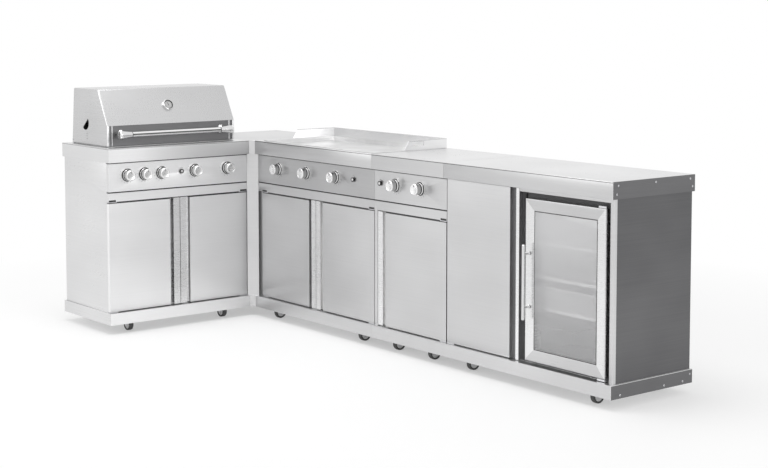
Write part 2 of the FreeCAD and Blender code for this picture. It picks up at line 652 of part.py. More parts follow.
def hood_brackets():
    """An ear inside each end of the hood, with the pin that the hood turns on."""
    ears = []
    for x, way in ((HOOD_SIDE, 1), (GRILL_WIDTH - HOOD_SIDE, -1)):
        inner = x + way * (PLATE + SEAT)
        ear = box(*sorted((inner, inner + way * HOOD_EAR_SHEET)), HOOD_PIVOT_Y - HOOD_EAR, HOOD_PIVOT_Y + HOOD_EAR,
                  WORKTOP_HEIGHT, HOOD_PIVOT_Z + HOOD_PIVOT_RADIUS)
        pin = rod_x(HOOD_PIVOT_RADIUS, *sorted((x - way, inner)), HOOD_PIVOT_Y, HOOD_PIVOT_Z)
        ears.append(join([ear, pin]))
    return ears


def make_grill():
    top = folded_top(GRILL)
    opening = box(FIREBOX_SIDE, GRILL_WIDTH - FIREBOX_SIDE, FIREBOX_FRONT, FIREBOX_BACK, BODY_TOP, WORKTOP_HEIGHT)
    add("grill_worktop", GRILL, [less(top, [opening])])
    add("firebox", GRILL, [firebox()])
    add("heat_shields", GRILL, [heat_shield(x) for x in GRILL_KNOBS])
    add("cooking_grates", GRILL, [grate(i) for i in range(GRATE_COUNT)])
    front, back = FIREBOX_FRONT - 2 * LEDGE + SHEET, FIREBOX_BACK - SHEET - SEAT
    burners = [tube_burner(x, front, back) for x in GRILL_KNOBS]
    add("tube_burners", GRILL, burners)
    tray = (GRILL_WIDTH / 4, GRILL_WIDTH * 3 / 4)
    runners = tray_runners(GRILL, *tray, RAIL_TOP)
    inlet_hole = rod_y(SUPPLY_RADIUS + SEAT, GRILL_WIDTH - FOLD, BODY_BACK - SHEET, BODY_BACK, KNOB_HEIGHT)
    extras = [channel_rail(GRILL.body_left, GRILL.body_right, RAIL_BOTTOM, RAIL_TOP),
              cross_brace(GRILL, RAIL_BOTTOM, RAIL_TOP)] + runners
    add("grill_cabinet", GRILL, [carcass(GRILL, extras, [inlet_hole])])
    tray_y = (BODY_FRONT + SHEET + SEAT, BODY_BACK - SHEET - SEAT)
    add("drip_trays", GRILL, [drip_tray(tray[0] + SEAT, tray[1] - SEAT, *tray_y, RAIL_TOP, LEDGE * 2)])
    inlet = [rod_y(SUPPLY_RADIUS, GRILL_WIDTH - FOLD, MANIFOLD_Y, DEPTH, KNOB_HEIGHT),
             rod_y(INLET_RADIUS, GRILL_WIDTH - FOLD, DEPTH - INLET_LENGTH, DEPTH, KNOB_HEIGHT)]
    add("gas_manifolds", GRILL, [manifold(GRILL, GRILL_KNOBS, front + LEDGE, inlet)])
    add("hood", GRILL, [hood()])
    add("hood_handle", GRILL, [hood_handle()])
    add("hood_gauge", GRILL, [hood_gauge()])
    add("hinge_brackets", GRILL, hood_brackets())


# Griddle


def griddle_plate():
    """A sunk steel plate whose rim rests on the worktop."""
    x0, x1, y0, y1 = GRIDDLE_LEFT, GRIDDLE_RIGHT, GRIDDLE_FRONT, GRIDDLE_BACK
    bottom = GRIDDLE_SURFACE - GRIDDLE_PLATE
    top = WORKTOP_HEIGHT + SHEET * 2
    wall = SHEET * 2
    pan = box(x0, x1, y0, y1, bottom, top)
    rim = box(x0 - GRIDDLE_RIM, x1 + GRIDDLE_RIM, y0 - GRIDDLE_RIM, y1 + GRIDDLE_RIM, WORKTOP_HEIGHT, top)
    return less(join([pan, rim]), [box(x0 + wall, x1 - wall, y0 + wall, y1 - wall, GRIDDLE_SURFACE, top)])


def griddle_guard():
    """A splash guard on the plate's rim at both sides and the back, with a slot in its right side."""
    x0, x1 = GRIDDLE_LEFT - GRIDDLE_RIM, GRIDDLE_RIGHT + GRIDDLE_RIM
    y1 = GRIDDLE_BACK + GRIDDLE_RIM
    bottom = WORKTOP_HEIGHT + SHEET * 2
    side = [(GUARD_FRONT, bottom), (GUARD_FRONT + GUARD_SLOPE, GUARD_TOP), (y1, GUARD_TOP), (y1, bottom)]
    left = prism_x(side, x0, x0 + PLATE)
    right = prism_x(side, x1 - PLATE, x1)
    back = box(x0, x1, y1 - PLATE, y1, bottom, GUARD_TOP)
    slot = box(x1 - PLATE, x1, GUARD_SLOT_FRONT, GUARD_SLOT_BACK, GUARD_SLOT_BOTTOM, GUARD_SLOT_TOP)
    return less(join([left, right, back]), [slot])


def make_griddle():
    opening = box(GRIDDLE_LEFT - SEAM, GRIDDLE_RIGHT + SEAM, GRIDDLE_FRONT - SEAM, GRIDDLE_BACK + SEAM,
                  BODY_TOP, WORKTOP_HEIGHT)
    add("griddle_worktop", GRIDDLE, [less(folded_top(GRIDDLE), [opening])])
    add("griddle_plate", GRIDDLE, [griddle_plate()])
    add("griddle_guard", GRIDDLE, [griddle_guard()])
    tray = (GRIDDLE_WIDTH / 4, GRIDDLE_WIDTH * 3 / 4)
    left, right = GRIDDLE.body_left, GRIDDLE.body_right
    bar_top = KNOB_HEIGHT - BURNER_TUBE_RADIUS
    front, back = MANIFOLD_Y + VALVE_RADIUS + LEDGE, GRIDDLE_BACK - 2 * LEDGE
    bars = [box(left, right, y, y + CROSS_BAR, bar_top - CROSS_BAR, bar_top) for y in (front, back - CROSS_BAR)]
    extras = [channel_rail(left, right, RAIL_BOTTOM, RAIL_TOP), cross_brace(GRIDDLE, RAIL_BOTTOM, RAIL_TOP)]
    add("griddle_cabinet", GRIDDLE, [carcass(GRIDDLE, extras + bars + tray_runners(GRIDDLE, *tray, RAIL_TOP))])
    tray_y = (BODY_FRONT + SHEET + SEAT, BODY_BACK - SHEET - SEAT)
    add("drip_trays", GRIDDLE, [drip_tray(tray[0] + SEAT, tray[1] - SEAT, *tray_y, RAIL_TOP, LEDGE * 2)])
    add("tube_burners", GRIDDLE, [tube_burner(x, front, back) for x in GRIDDLE_KNOBS])
    add("gas_manifolds", GRIDDLE, [manifold(GRIDDLE, GRIDDLE_KNOBS, front + LEDGE)])


# Side burner


def burner_worktop():
    """A folded top with a sunk pan under the lid, and two tabs that carry the lid's front."""
    top = folded_top(BURNER)
    x0, x1, y0, y1 = WELL_RIM, BURNER_WIDTH - WELL_RIM, WELL_RIM, DEPTH - WELL_RIM + LID_GAP
    wall = box(x0 - SHEET, x1 + SHEET, y0 - SHEET, y1 + SHEET, WELL_FLOOR - SHEET, WORKTOP_HEIGHT)
    well = box(x0, x1, y0, y1, WELL_FLOOR, WORKTOP_HEIGHT)
    tab_top = WORKTOP_HEIGHT - LID_SKIRT - SEAT
    tabs = [box(x, x + STILE, y0 - SHEET, y0 + LEDGE, tab_top - PLATE, tab_top)
            for x in (x0 + 2 * FOLD, x1 - 2 * FOLD - STILE)]
    pins = [rod_x(LID_PIVOT_RADIUS, *sorted((edge, edge + way * 2 * PLATE)), *lid_pivot())
            for edge, way in ((x0, 1), (x1, -1))]
    holes = [rod_z(MANIFOLD_RADIUS, knob_x, DEPTH / 2, WELL_FLOOR - SHEET, WELL_FLOOR) for knob_x in BURNER_KNOBS]
    return less(join([less(join([top, wall]), [well])] + tabs + pins), holes)


def lid_pivot():
    return DEPTH - WELL_RIM - LID_PIVOT_INSET, WORKTOP_HEIGHT - LID_PIVOT_DROP


def burner_lid():
    """A flush folded lid over the whole well."""
    x0, x1 = WELL_RIM + LID_GAP, BURNER_WIDTH - WELL_RIM - LID_GAP
    y0, y1 = WELL_RIM + LID_GAP, DEPTH - WELL_RIM - LID_GAP
    outer = box(x0, x1, y0, y1, WORKTOP_HEIGHT - LID_SKIRT, WORKTOP_HEIGHT)
    inner = box(x0 + SHEET, x1 - SHEET, y0 + SHEET, y1 - SHEET, WORKTOP_HEIGHT - LID_SKIRT, WORKTOP_HEIGHT - SHEET)
    y, z = lid_pivot()
    holes = [rod_x(LID_PIVOT_RADIUS + RUNNING, x, x + SHEET, y, z) for x in (x0, x1 - SHEET)]
    return less(outer, [inner] + holes)


def side_burner(x):
    """A burner head with a crossed pot support standing on the well's floor."""
    y = DEPTH / 2
    head = rod_z(BURNER_HEAD_RADIUS, x, y, WELL_FLOOR, WELL_FLOOR + BURNER_HEAD_HEIGHT)
    arms = []
    for dx, dy in ((TRIVET_RADIUS, TRIVET_BAR / 2), (TRIVET_BAR / 2, TRIVET_RADIUS)):
        arms.append(box(x - dx, x + dx, y - dy, y + dy, TRIVET_TOP - 2 * TRIVET_BAR, TRIVET_TOP))
        for way in (-1, 1):
            foot_x = x + way * (dx - TRIVET_BAR / 2) if dx > dy else x
            foot_y = y + way * (dy - TRIVET_BAR / 2) if dy > dx else y
            half = TRIVET_BAR / 2
            arms.append(box(foot_x - half, foot_x + half, foot_y - half, foot_y + half, WELL_FLOOR, TRIVET_TOP))
    hub = rod_z(TRIVET_BAR, x, y, WELL_FLOOR, TRIVET_TOP)
    return join([head, hub] + arms)


def make_side_burner():
    add("burner_worktop", BURNER, [burner_worktop()])
    add("burner_lid", BURNER, [burner_lid()])
    add("side_burners", BURNER, [side_burner(x) for x in BURNER_KNOBS])
    left, right = BURNER.body_left, BURNER.body_right
    stile = channel_rail(left, FOLD - DOOR_SIDE_GAP, PLINTH_TOP, RAIL_BOTTOM)
    extras = [channel_rail(left, right, RAIL_BOTTOM, RAIL_TOP), cross_brace(BURNER, RAIL_BOTTOM, RAIL_TOP), stile]
    add("burner_cabinet", BURNER, [carcass(BURNER, extras)])
    risers = []
    for x in BURNER_KNOBS:
        risers.append(rod_y(STEM_RADIUS, x, MANIFOLD_Y, DEPTH / 2 + STEM_RADIUS, KNOB_HEIGHT))
        risers.append(rod_z(STEM_RADIUS * 2, x, DEPTH / 2, KNOB_HEIGHT - 2 * STEM_RADIUS, WELL_FLOOR))
    add("gas_manifolds", BURNER, [manifold(BURNER, BURNER_KNOBS, MANIFOLD_Y + VALVE_RADIUS, risers)])


# Fridge and storage


def fridge_cabinet():
    left, right = FRIDGE.body_left, FRIDGE.body_right
    outer_right = FRIDGE_WIDTH - END_INSET
    divider = box(STORAGE_RIGHT - SHEET, STORAGE_RIGHT, BODY_FRONT, BODY_BACK, PLINTH_TOP, BODY_TOP)
    post = box(BAY_RIGHT, outer_right, FRONT_SETBACK, FRONT_SETBACK + POST_DEPTH, PLINTH_TOP, BODY_TOP)
    post_back = box(BAY_RIGHT, right, FRONT_SETBACK + POST_DEPTH, BODY_FRONT, PLINTH_TOP, BODY_TOP)
    hollow = box(BAY_RIGHT + SHEET, right - SHEET, FRONT_SETBACK + SHEET, BODY_FRONT, PLINTH_TOP + SHEET,
                 BODY_TOP - SHEET)
    rail = channel_rail(STORAGE_RIGHT + SHEET, BAY_RIGHT, BAY_RAIL_BOTTOM, BODY_TOP)
    brace = box(left, right, BODY_FRONT, BODY_FRONT + SHEET, BAY_RAIL_BOTTOM, BODY_TOP)
    boss = rod_y(GLAND_RADIUS + GLAND_WALL, BAY_MIDDLE, BODY_BACK - SHEET, BODY_BACK - SHEET + GLAND_LENGTH, KNOB_HEIGHT)
    hole = rod_y(GLAND_RADIUS, BAY_MIDDLE, BODY_BACK - SHEET, BODY_BACK - SHEET + GLAND_LENGTH, KNOB_HEIGHT)
    return carcass(FRIDGE, [divider, less(join([post, post_back]), [hollow]), rail, brace, boss], [hole])


def fridge_body():
    """An insulated box on the carcass floor, open at its front, with ribs for the shelves."""
    x0, x1 = STORAGE_RIGHT + FRIDGE_GAP, BAY_RIGHT - FRIDGE_GAP
    z0, z1 = PLINTH_TOP + SHEET, FRIDGE_TOP
    wall = FRIDGE_WALL
    machine_top = z0 + COMPRESSOR_HEIGHT + wall
    outer = box(x0, x1, FRIDGE_FRONT, FRIDGE_BACK, z0, z1)
    machine = box(x0, x1, MACHINE_FRONT, FRIDGE_BACK, z0, machine_top - wall + FRIDGE_GAP)
    upper = box(x0 + wall, x1 - wall, FRIDGE_FRONT, FRIDGE_BACK - wall, machine_top + wall, z1 - wall)
    lower = box(x0 + wall, x1 - wall, FRIDGE_FRONT, MACHINE_FRONT - wall, z0 + wall, machine_top + wall)
    shell = less(outer, [machine, upper, lower])
    ribs = []
    for level in SHELF_HEIGHTS:
        for edge, way in ((x0 + wall, 1), (x1 - wall, -1)):
            ribs.append(box(*sorted((edge, edge + way * SHELF_RIB)), FRIDGE_FRONT + FOLD,
                            MACHINE_FRONT - wall - FOLD, level - SHELF_RIB, level))
    return join([shell] + ribs)


def shelf(level):
    """A wire shelf on two ribs."""
    r = SHELF_WIRE
    x0 = STORAGE_RIGHT + FRIDGE_GAP + FRIDGE_WALL + SEAT
    x1 = BAY_RIGHT - FRIDGE_GAP - FRIDGE_WALL - SEAT
    y0, y1 = FRIDGE_FRONT + FOLD, MACHINE_FRONT - FRIDGE_WALL - FOLD
    step = (x1 - x0 - 2 * r) / (SHELF_WIRES - 1)
    wires = [rod_y(r, x0 + r + i * step, y0, y1, level + r) for i in range(SHELF_WIRES)]
    ties = [box(x0, x1, y, y + 2 * r, level, level + 2 * r) for y in (y0, (y0 + y1) / 2, y1 - 2 * r)]
    return join(ties + wires)


def fridge_door_back():
    return FRIDGE_FRONT - FRIDGE_DOOR_BACK_GAP


def fridge_pivot():
    return FRIDGE_DOOR_RIGHT - FRIDGE_PIVOT_X, FRONT_SETBACK + FRIDGE_PIVOT_Y


def fridge_door_frame():
    """A hollow steel frame round the window, with a groove that holds the glass."""
    x0, x1, z0, z1 = FRIDGE_DOOR_LEFT, FRIDGE_DOOR_RIGHT, FRIDGE_DOOR_BOTTOM, FRIDGE_DOOR_TOP
    y0, y1 = FRONT_SETBACK, fridge_door_back()
    window = FRIDGE_FRAME
    grooved = window - GLASS_GROOVE
    outer = box(x0, x1, y0, y1, z0, z1)
    opening = box(x0 + window, x1 - window, y0, y1, z0 + window, z1 - window)
    groove = box(x0 + grooved, x1 - grooved, y0 + GLASS_FRONT, y0 + GLASS_FRONT + GLASS_THICKNESS,
                 z0 + grooved, z1 - grooved)
    inner = grooved - PLATE
    cavity = less(box(x0 + PLATE, x1 - PLATE, y0 + PLATE, y1 - PLATE, z0 + PLATE, z1 - PLATE),
                  [box(x0 + inner, x1 - inner, y0, y1, z0 + inner, z1 - inner)])
    x, y = fridge_pivot()
    holes = [rod_z(PIVOT_RADIUS + RUNNING, x, y, z0, z0 + PLATE), rod_z(PIVOT_RADIUS + RUNNING, x, y, z1 - PLATE, z1)]
    drain = rod_z(DRAIN_RADIUS, (x0 + x1) / 2, y1 - FRIDGE_PIVOT_Y, z0, z0 + PLATE)
    return less(outer, [opening, groove, cavity, drain] + holes)


def fridge_door_glass():
    grooved = FRIDGE_FRAME - GLASS_GROOVE
    y = FRONT_SETBACK + GLASS_FRONT
    return box(FRIDGE_DOOR_LEFT + grooved, FRIDGE_DOOR_RIGHT - grooved, y, y + GLASS_THICKNESS,
               FRIDGE_DOOR_BOTTOM + grooved, FRIDGE_DOOR_TOP - grooved)


def fridge_door_handle():
    x = FRIDGE_DOOR_LEFT + FRIDGE_FRAME / 2
    y = FRONT_SETBACK - BAR_PROUD
    mounts = [rod_y(BAR_MOUNT_RADIUS, x, y, FRONT_SETBACK, BAR_BOTTOM + rise) for rise in BAR_MOUNTS]
    return join([rod_z(BAR_RADIUS, x, y, BAR_BOTTOM, BAR_TOP)] + mounts)


def fridge_pivots():
    """A block below and one above the fridge door, fixed to the fridge box."""
    x, y = fridge_pivot()
    blocks = []
    for level, way in ((FRIDGE_DOOR_BOTTOM - SEAT, -1), (FRIDGE_DOOR_TOP + SEAT, 1)):
        plate = box(x - FRIDGE_HINGE_LENGTH, x + FRIDGE_PIVOT_X, FRONT_SETBACK + SHEET, FRIDGE_FRONT,
                    *sorted((level, level + way * LEDGE)))
        blocks.append(join([plate, rod_z(PIVOT_RADIUS, x, y, *sorted((level, level - way * PIVOT_LENGTH)))]))
    return blocks


def compressor():
    """A domed steel can on the carcass floor behind the fridge box."""
    bottom = PLINTH_TOP + SHEET
    can = rod_z(COMPRESSOR_RADIUS, BAY_MIDDLE, FRIDGE_BACK - COMPRESSOR_RADIUS, bottom, bottom + COMPRESSOR_HEIGHT)
    return can.makeFillet(COMPRESSOR_RADIUS / 4, [can.Edges[0], can.Edges[2]])


def make_fridge():
    add("fridge_worktop", FRIDGE, [screw_holes(folded_top(FRIDGE), FASCIA_SCREWS, FRIDGE_WIDTH)])
    add("fridge_cabinet", FRIDGE, [fridge_cabinet()])
    add("fridge_body", FRIDGE, [fridge_body()])
    add("fridge_shelves", FRIDGE, [shelf(level) for level in SHELF_HEIGHTS])
    add("fridge_door_frame", FRIDGE, [fridge_door_frame()])
    add("fridge_door_glass", FRIDGE, [fridge_door_glass()])
    add("fridge_door_handle", FRIDGE, [fridge_door_handle()])
    add("hinge_brackets", FRIDGE, fridge_pivots())
    add("fridge_compressor", FRIDGE, [compressor()])


# Right end


def screw_holes(shape, places, face):
    """Clearance holes for the screws that come in from the right."""
    return less(shape, [rod_x(SCREW_SHANK + RUNNING, face - SCREW_LENGTH - SCREW_HEAD, face, y, z)
                        for y, z in places])


def end_strip(z0, z1, places):
    """A flat cover over a worktop's or plinth's end, countersunk for its screws."""
    x0, x1 = FRIDGE_WIDTH - END_PLATE, FRIDGE_WIDTH
    holes = [rod_x(SCREW_RADIUS, x1 - SCREW_HEAD, x1, y, z) for y, z in places]
    return screw_holes(less(box(x0, x1, 0, DEPTH, z0, z1), holes), places, FRIDGE_WIDTH)


def screw(y, z):
    head = rod_x(SCREW_RADIUS, FRIDGE_WIDTH - SCREW_HEAD, FRIDGE_WIDTH, y, z)
    return join([head, rod_x(SCREW_SHANK, FRIDGE_WIDTH - SCREW_HEAD - SCREW_LENGTH, FRIDGE_WIDTH, y, z)])


def make_right_end():
    body = box(FRIDGE.body_right, FRIDGE_WIDTH - END_INSET, FRONT_SETBACK + POST_DEPTH, BODY_BACK,
               PLINTH_TOP, BODY_TOP)
    add("right_end_panels", FRIDGE, [end_strip(BODY_TOP, WORKTOP_HEIGHT, FASCIA_SCREWS), body,
                                     end_strip(PLINTH_BOTTOM, PLINTH_TOP, PLINTH_SCREWS)])
    add("screws", FRIDGE, [screw(y, z) for y, z in FASCIA_SCREWS + PLINTH_SCREWS])


# Corner


def corner_outline(inset_front, inset_back):
    """The corner's outline in the right wing's frame; its front is the 45 degree face."""
    back_x, back_y = LEFT_BACK + inset_back, DEPTH - inset_back
    left_y = -CORNER_OFFSET + SEAM
    front_x = -CORNER_OFFSET - inset_front
    return [(-SEAM, inset_front), (-SEAM, back_y), (back_x, back_y), (back_x, left_y), (front_x, left_y)]


def corner_tray(bottom, top):
    outer = prism_z(corner_outline(0, 0), bottom, top)
    return less(outer, [prism_z(shrunk(corner_outline(0, 0)), bottom, top - PLATE)])


def shrunk(points):
    """The outline drawn in by one plate on every side."""
    wire = Part.makePolygon([FreeCAD.Vector(x, y, 0) for x, y in points + points[:1]])
    inner = Part.Face(wire).makeOffset2D(-PLATE, 2)
    return [(v.Point.x, v.Point.y) for v in inner.OuterWire.OrderedVertexes]


def make_corner():
    body = corner_outline(FRONT_SETBACK, END_INSET)
    outer = prism_z(body, PLINTH_TOP, BODY_TOP)
    inner = prism_z(shrunk(body), PLINTH_TOP, BODY_TOP)
    corner = join([corner_tray(BODY_TOP, WORKTOP_HEIGHT), corner_tray(PLINTH_BOTTOM, PLINTH_TOP),
                   less(outer, [inner])])
    corner.Placement = on_right_wing(0).multiply(corner.Placement)
    nodes["corner_unit"] = [corner]


# Castors


def castor_places():
    """Each castor's module, row and place in that module's frame."""
    places = []
    for module, wing in ((GRILL, "left"), (GRIDDLE, "right"), (BURNER, "right"), (FRIDGE, "right")):
        for x in (CASTOR_INSET, module.width - CASTOR_INSET):
            places.append((module, wing + "_front_wheels", x, CASTOR_SETBACK))
            places.append((module, wing + "_rear_wheels", x, DEPTH - CASTOR_SETBACK))
    return places


def castor_fork(x, y):
    """A top plate, a swivel head and a fork that holds the axle."""
    half = WHEEL_WIDTH / 2 + SEAT * 2
    top = PLINTH_TOP - PLATE
    crown = 2 * WHEEL_RADIUS + FORK_SHEET
    legs = [box(leg, leg + FORK_SHEET, y - LEDGE, y + LEDGE, WHEEL_RADIUS - LEDGE, crown + FORK_SHEET)
            for leg in (x - half - FORK_SHEET, x + half)]
    bridge = box(x - half - FORK_SHEET, x + half + FORK_SHEET, y - LEDGE, y + LEDGE, crown, crown + FORK_SHEET)
    head = rod_z(2 * LEDGE, x, y, crown, top)
    plate = box(x - WHEEL_RADIUS, x + WHEEL_RADIUS, y - WHEEL_RADIUS, y + WHEEL_RADIUS, top - FORK_SHEET, top)
    axle = rod_x(AXLE_RADIUS, x - half - FORK_SHEET, x + half + FORK_SHEET, y, WHEEL_RADIUS)
    return join([plate, head, bridge, axle] + legs)


def castor_wheel(x, y):
    wheel = rod_x(WHEEL_RADIUS, x - WHEEL_WIDTH / 2, x + WHEEL_WIDTH / 2, y, WHEEL_RADIUS)
    return less(wheel, [rod_x(AXLE_RADIUS + RUNNING, x - WHEEL_WIDTH / 2, x + WHEEL_WIDTH / 2, y, WHEEL_RADIUS)])


def make_castors():
    for module, row, x, y in castor_places():
        add("castor_forks", module, [castor_fork(x, y)])
        add(row, module, [castor_wheel(x, y)])


def write_parts():
    os.makedirs("parts", exist_ok=True)
    for node, solids in sorted(nodes.items()):
        shape = solids[0] if len(solids) == 1 else Part.makeCompound(solids)
        shape.exportStep("parts/" + node + ".step")
        print(node, len(solids), round(sum(s.Volume for s in solids)), all(s.isValid() for s in solids))


make_doors()
make_controls()
make_grill()
make_griddle()
make_side_burner()
make_fridge()
make_right_end()
make_corner()
make_castors()
for piece in (GRILL, GRIDDLE, BURNER):
    add("plinth_frames", piece, [plinth(piece)])
add("plinth_frames", FRIDGE, [screw_holes(plinth(FRIDGE), PLINTH_SCREWS, FRIDGE_WIDTH)])
write_parts()
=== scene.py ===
import json
import math

import bmesh
import bpy
from mathutils import Matrix, Vector


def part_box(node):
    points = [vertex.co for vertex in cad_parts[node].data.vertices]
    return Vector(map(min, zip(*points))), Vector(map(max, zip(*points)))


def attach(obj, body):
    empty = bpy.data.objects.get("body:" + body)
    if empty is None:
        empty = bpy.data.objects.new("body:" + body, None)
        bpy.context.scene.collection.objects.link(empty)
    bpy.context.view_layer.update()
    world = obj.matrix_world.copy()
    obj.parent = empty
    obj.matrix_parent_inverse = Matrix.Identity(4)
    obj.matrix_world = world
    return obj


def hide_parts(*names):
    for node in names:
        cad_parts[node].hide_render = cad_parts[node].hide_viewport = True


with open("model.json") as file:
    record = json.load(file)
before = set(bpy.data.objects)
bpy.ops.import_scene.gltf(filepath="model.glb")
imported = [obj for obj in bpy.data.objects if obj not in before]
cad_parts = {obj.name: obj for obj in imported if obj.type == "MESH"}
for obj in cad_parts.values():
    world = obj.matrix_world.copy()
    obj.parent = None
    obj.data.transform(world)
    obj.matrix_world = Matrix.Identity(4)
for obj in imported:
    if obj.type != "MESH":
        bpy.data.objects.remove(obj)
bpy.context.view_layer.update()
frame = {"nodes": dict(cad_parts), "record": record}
bodyOf = {node: body for body, nodes in frame["record"]["behaviour"]["bodies"].items() for node in nodes}
mm = 0.001
quarter = math.radians(90)
print("frame loaded", len(frame["nodes"]), "nodes")


# shader maths


class Wire:  # a socket that takes part in Python expressions
    def __init__(self, tree, socket):
        self.tree = tree
        self.socket = socket

    def maths(self, operation, *values):
        return self.tree.wire("ShaderNodeMath", {"operation": operation}, dict(enumerate(values)))

    def __add__(self, other):
        return self.maths("ADD", self, other)

    def __sub__(self, other):
        return self.maths("SUBTRACT", self, other)

    def __rsub__(self, other):
        return self.maths("SUBTRACT", other, self)

    def __mul__(self, other):
        return self.maths("MULTIPLY", self, other)


class Nodes:  # the nodes and links of one tree
    def __init__(self, tree):
        self.nodes = tree.nodes
        self.links = tree.links

    def node(self, kind, settings, inputs):
        made = self.nodes.new(kind)
        for key, value in settings.items():
            if key == "stops":
                ramp = made.color_ramp
                ramp.elements[0].position, ramp.elements[0].color = value[0]
                ramp.elements[1].position, ramp.elements[1].color = value[-1]
                for position, colour in value[1:-1]:
                    ramp.elements.new(position).color = colour
            else:
                setattr(made, key, value)
        for key, value in inputs.items():
            self.feed(made.inputs[key], value)
        return made

    def feed(self, socket, value):
        if isinstance(value, Wire):
            self.links.new(value.socket, socket)
        else:
            socket.default_value = value

    def wire(self, kind, settings, inputs, output=0):
        return Wire(self, self.node(kind, settings, inputs).outputs[output])

    def seenRays(self):  # one for the rays of the camera, gloss and glass, none for those that only light
        rays = self.node("ShaderNodeLightPath", {}, {})
        camera, gloss, glass = [Wire(self, rays.outputs["Is " + kind + " Ray"])
                                for kind in ("Camera", "Glossy", "Transmission")]
        seen = camera.maths("MAXIMUM", camera, gloss)
        return seen.maths("MAXIMUM", seen, glass)


class Tree(Nodes):  # one material's nodes
    sockets = {"colour": "Base Color", "rough": "Roughness", "metal": "Metallic", "normal": "Normal",
               "alpha": "Alpha", "specular": "Specular IOR Level"}

    def __init__(self, name):
        self.material = bpy.data.materials.new(name)
        self.material.use_nodes = True
        super().__init__(self.material.node_tree)
        self.shader = self.nodes["Principled BSDF"]

    def place(self):
        return self.wire("ShaderNodeTexCoord", {}, {}, "Object")

    def level(self):  # the height above the floor
        return self.wire("ShaderNodeSeparateXYZ", {}, {"Vector": self.place()}, "Z")

    def upward(self):  # how far the surface faces up
        normal = self.wire("ShaderNodeNewGeometry", {}, {}, "Normal")
        return self.wire("ShaderNodeSeparateXYZ", {}, {"Vector": normal}, "Z")

    def noise(self, scale, size=1.0, detail=2.0):
        stretched = self.wire("ShaderNodeMapping", {}, {"Vector": self.place(), "Scale": scale})
        return self.wire("ShaderNodeTexNoise", {}, {"Vector": stretched, "Scale": size, "Detail": detail})

    def ramp(self, factor, stops):
        return self.wire("ShaderNodeValToRGB", {"stops": stops}, {"Fac": factor})

    def bump(self, height, strength, distance):
        return self.wire("ShaderNodeBump", {}, {"Height": height, "Strength": strength, "Distance": distance})

    def set(self, **values):
        for key, value in values.items():
            self.feed(self.shader.inputs[self.sockets[key]], value)
        return self.material


def grey(value, tint=0.0):
    return (value, value, value + tint, 1.0)


brushed = {"upright": (2.5, 2.5, 900.0), "flat": (600.0, 600.0, 2.0), "flatSize": 0.35,
           "cloud": (1.7, 1.7, 2.3), "smear": (5.0, 5.0, 9.0), "grainShare": 0.35, "stops": (0.3, 0.7),
           "tint": 0.004, "grainRough": 0.12, "smearRough": 0.1, "bump": (0.05, 0.0003)}


def brushedSteel(name, low, high, rough, paintedLine=None):
    # fine level streaks on upright faces, streaks along the run on flat ones, and slow clouds of tone;
    # the last argument, where given, is the height, half width and tone of a line painted along a fold:
    # painted shade where the tone is dark, a painted highlight where it is bright
    tree = Tree(name)
    upright = tree.noise(brushed["upright"], 1.0, 3.0)
    flat = tree.noise(brushed["flat"], brushed["flatSize"], 3.0)
    upward = tree.upward()
    level = upward.maths("ABSOLUTE", upward)
    grain = upright * (1 - level) + flat * level
    tone = grain * brushed["grainShare"] + tree.noise(brushed["cloud"]) * (1 - brushed["grainShare"])
    first, last = brushed["stops"]
    stops = [(first, grey(low, brushed["tint"])), (last, grey(high, brushed["tint"]))]
    if paintedLine:
        height, half, dark = paintedLine
        tone = tone * (1 - upward.maths("COMPARE", tree.level(), height, half))
        stops.insert(0, (0.0, grey(dark)))
    uneven = grain * brushed["grainRough"] + tree.noise(brushed["smear"], 1.0, 4.0) * brushed["smearRough"]
    middle = (brushed["grainRough"] + brushed["smearRough"]) / 2
    return tree.set(colour=tree.ramp(tone, stops), metal=1.0, rough=uneven + (rough - middle),
                    normal=tree.bump(grain, *brushed["bump"]))


def plainMaterial(name, colour, rough, metal=0.0, mottle=0.06, bumpSize=300.0, bumpDepth=0.0002):
    # a finish with faint mottling and a fine surface
    tree = Tree(name)
    cloud = tree.noise((7.0, 7.0, 7.0), 1.0, 3.0)
    dark = tuple(c * (1 - mottle) for c in colour[:3]) + (1.0,)
    light = tuple(min(1.0, c * (1 + mottle)) for c in colour[:3]) + (1.0,)
    fine = tree.noise((bumpSize, bumpSize, bumpSize))
    return tree.set(colour=tree.ramp(cloud, [(0.35, dark), (0.65, light)]), metal=metal,
                    rough=cloud * 0.1 + (rough - 0.05), normal=tree.bump(fine, 0.15, bumpDepth))


def tubeMaterial(name):
    # polished tube, with a painted reflection: a thin dark band along its front, where it faces level
    tree = Tree(name)
    smear = tree.noise((9.0, 9.0, 9.0), 1.0, 3.0)
    stops = [(0.4, grey(0.8)), (0.47, grey(0.12)), (0.63, grey(0.1)), (0.71, grey(0.86))]
    return tree.set(colour=tree.ramp(tree.upward() * 0.5 + 0.5, stops), metal=1.0, rough=smear * 0.08 + 0.12)


def glassMaterial(name):
    # smoky fridge glass: a pale pane that lets most light through, with a faint film; clearer low down and
    # milkier up high, so the door reads darker toward the bottom: painted shade
    tree = Tree(name)
    film = tree.noise((3.0, 3.0, 2.0))
    # painted shade: the pane lets more of the dark inside show toward the bottom
    paintedHeightShade = tree.ramp(tree.level(), [(0.1, grey(0.2)), (0.45, grey(0.32)), (0.8, grey(0.6))])
    material = tree.set(colour=grey(0.82, 0.01), rough=film * 0.05 + 0.02, metal=0.0,
                        alpha=film * 0.08 + paintedHeightShade, specular=0.6)
    material.surface_render_method = "BLENDED"
    return material
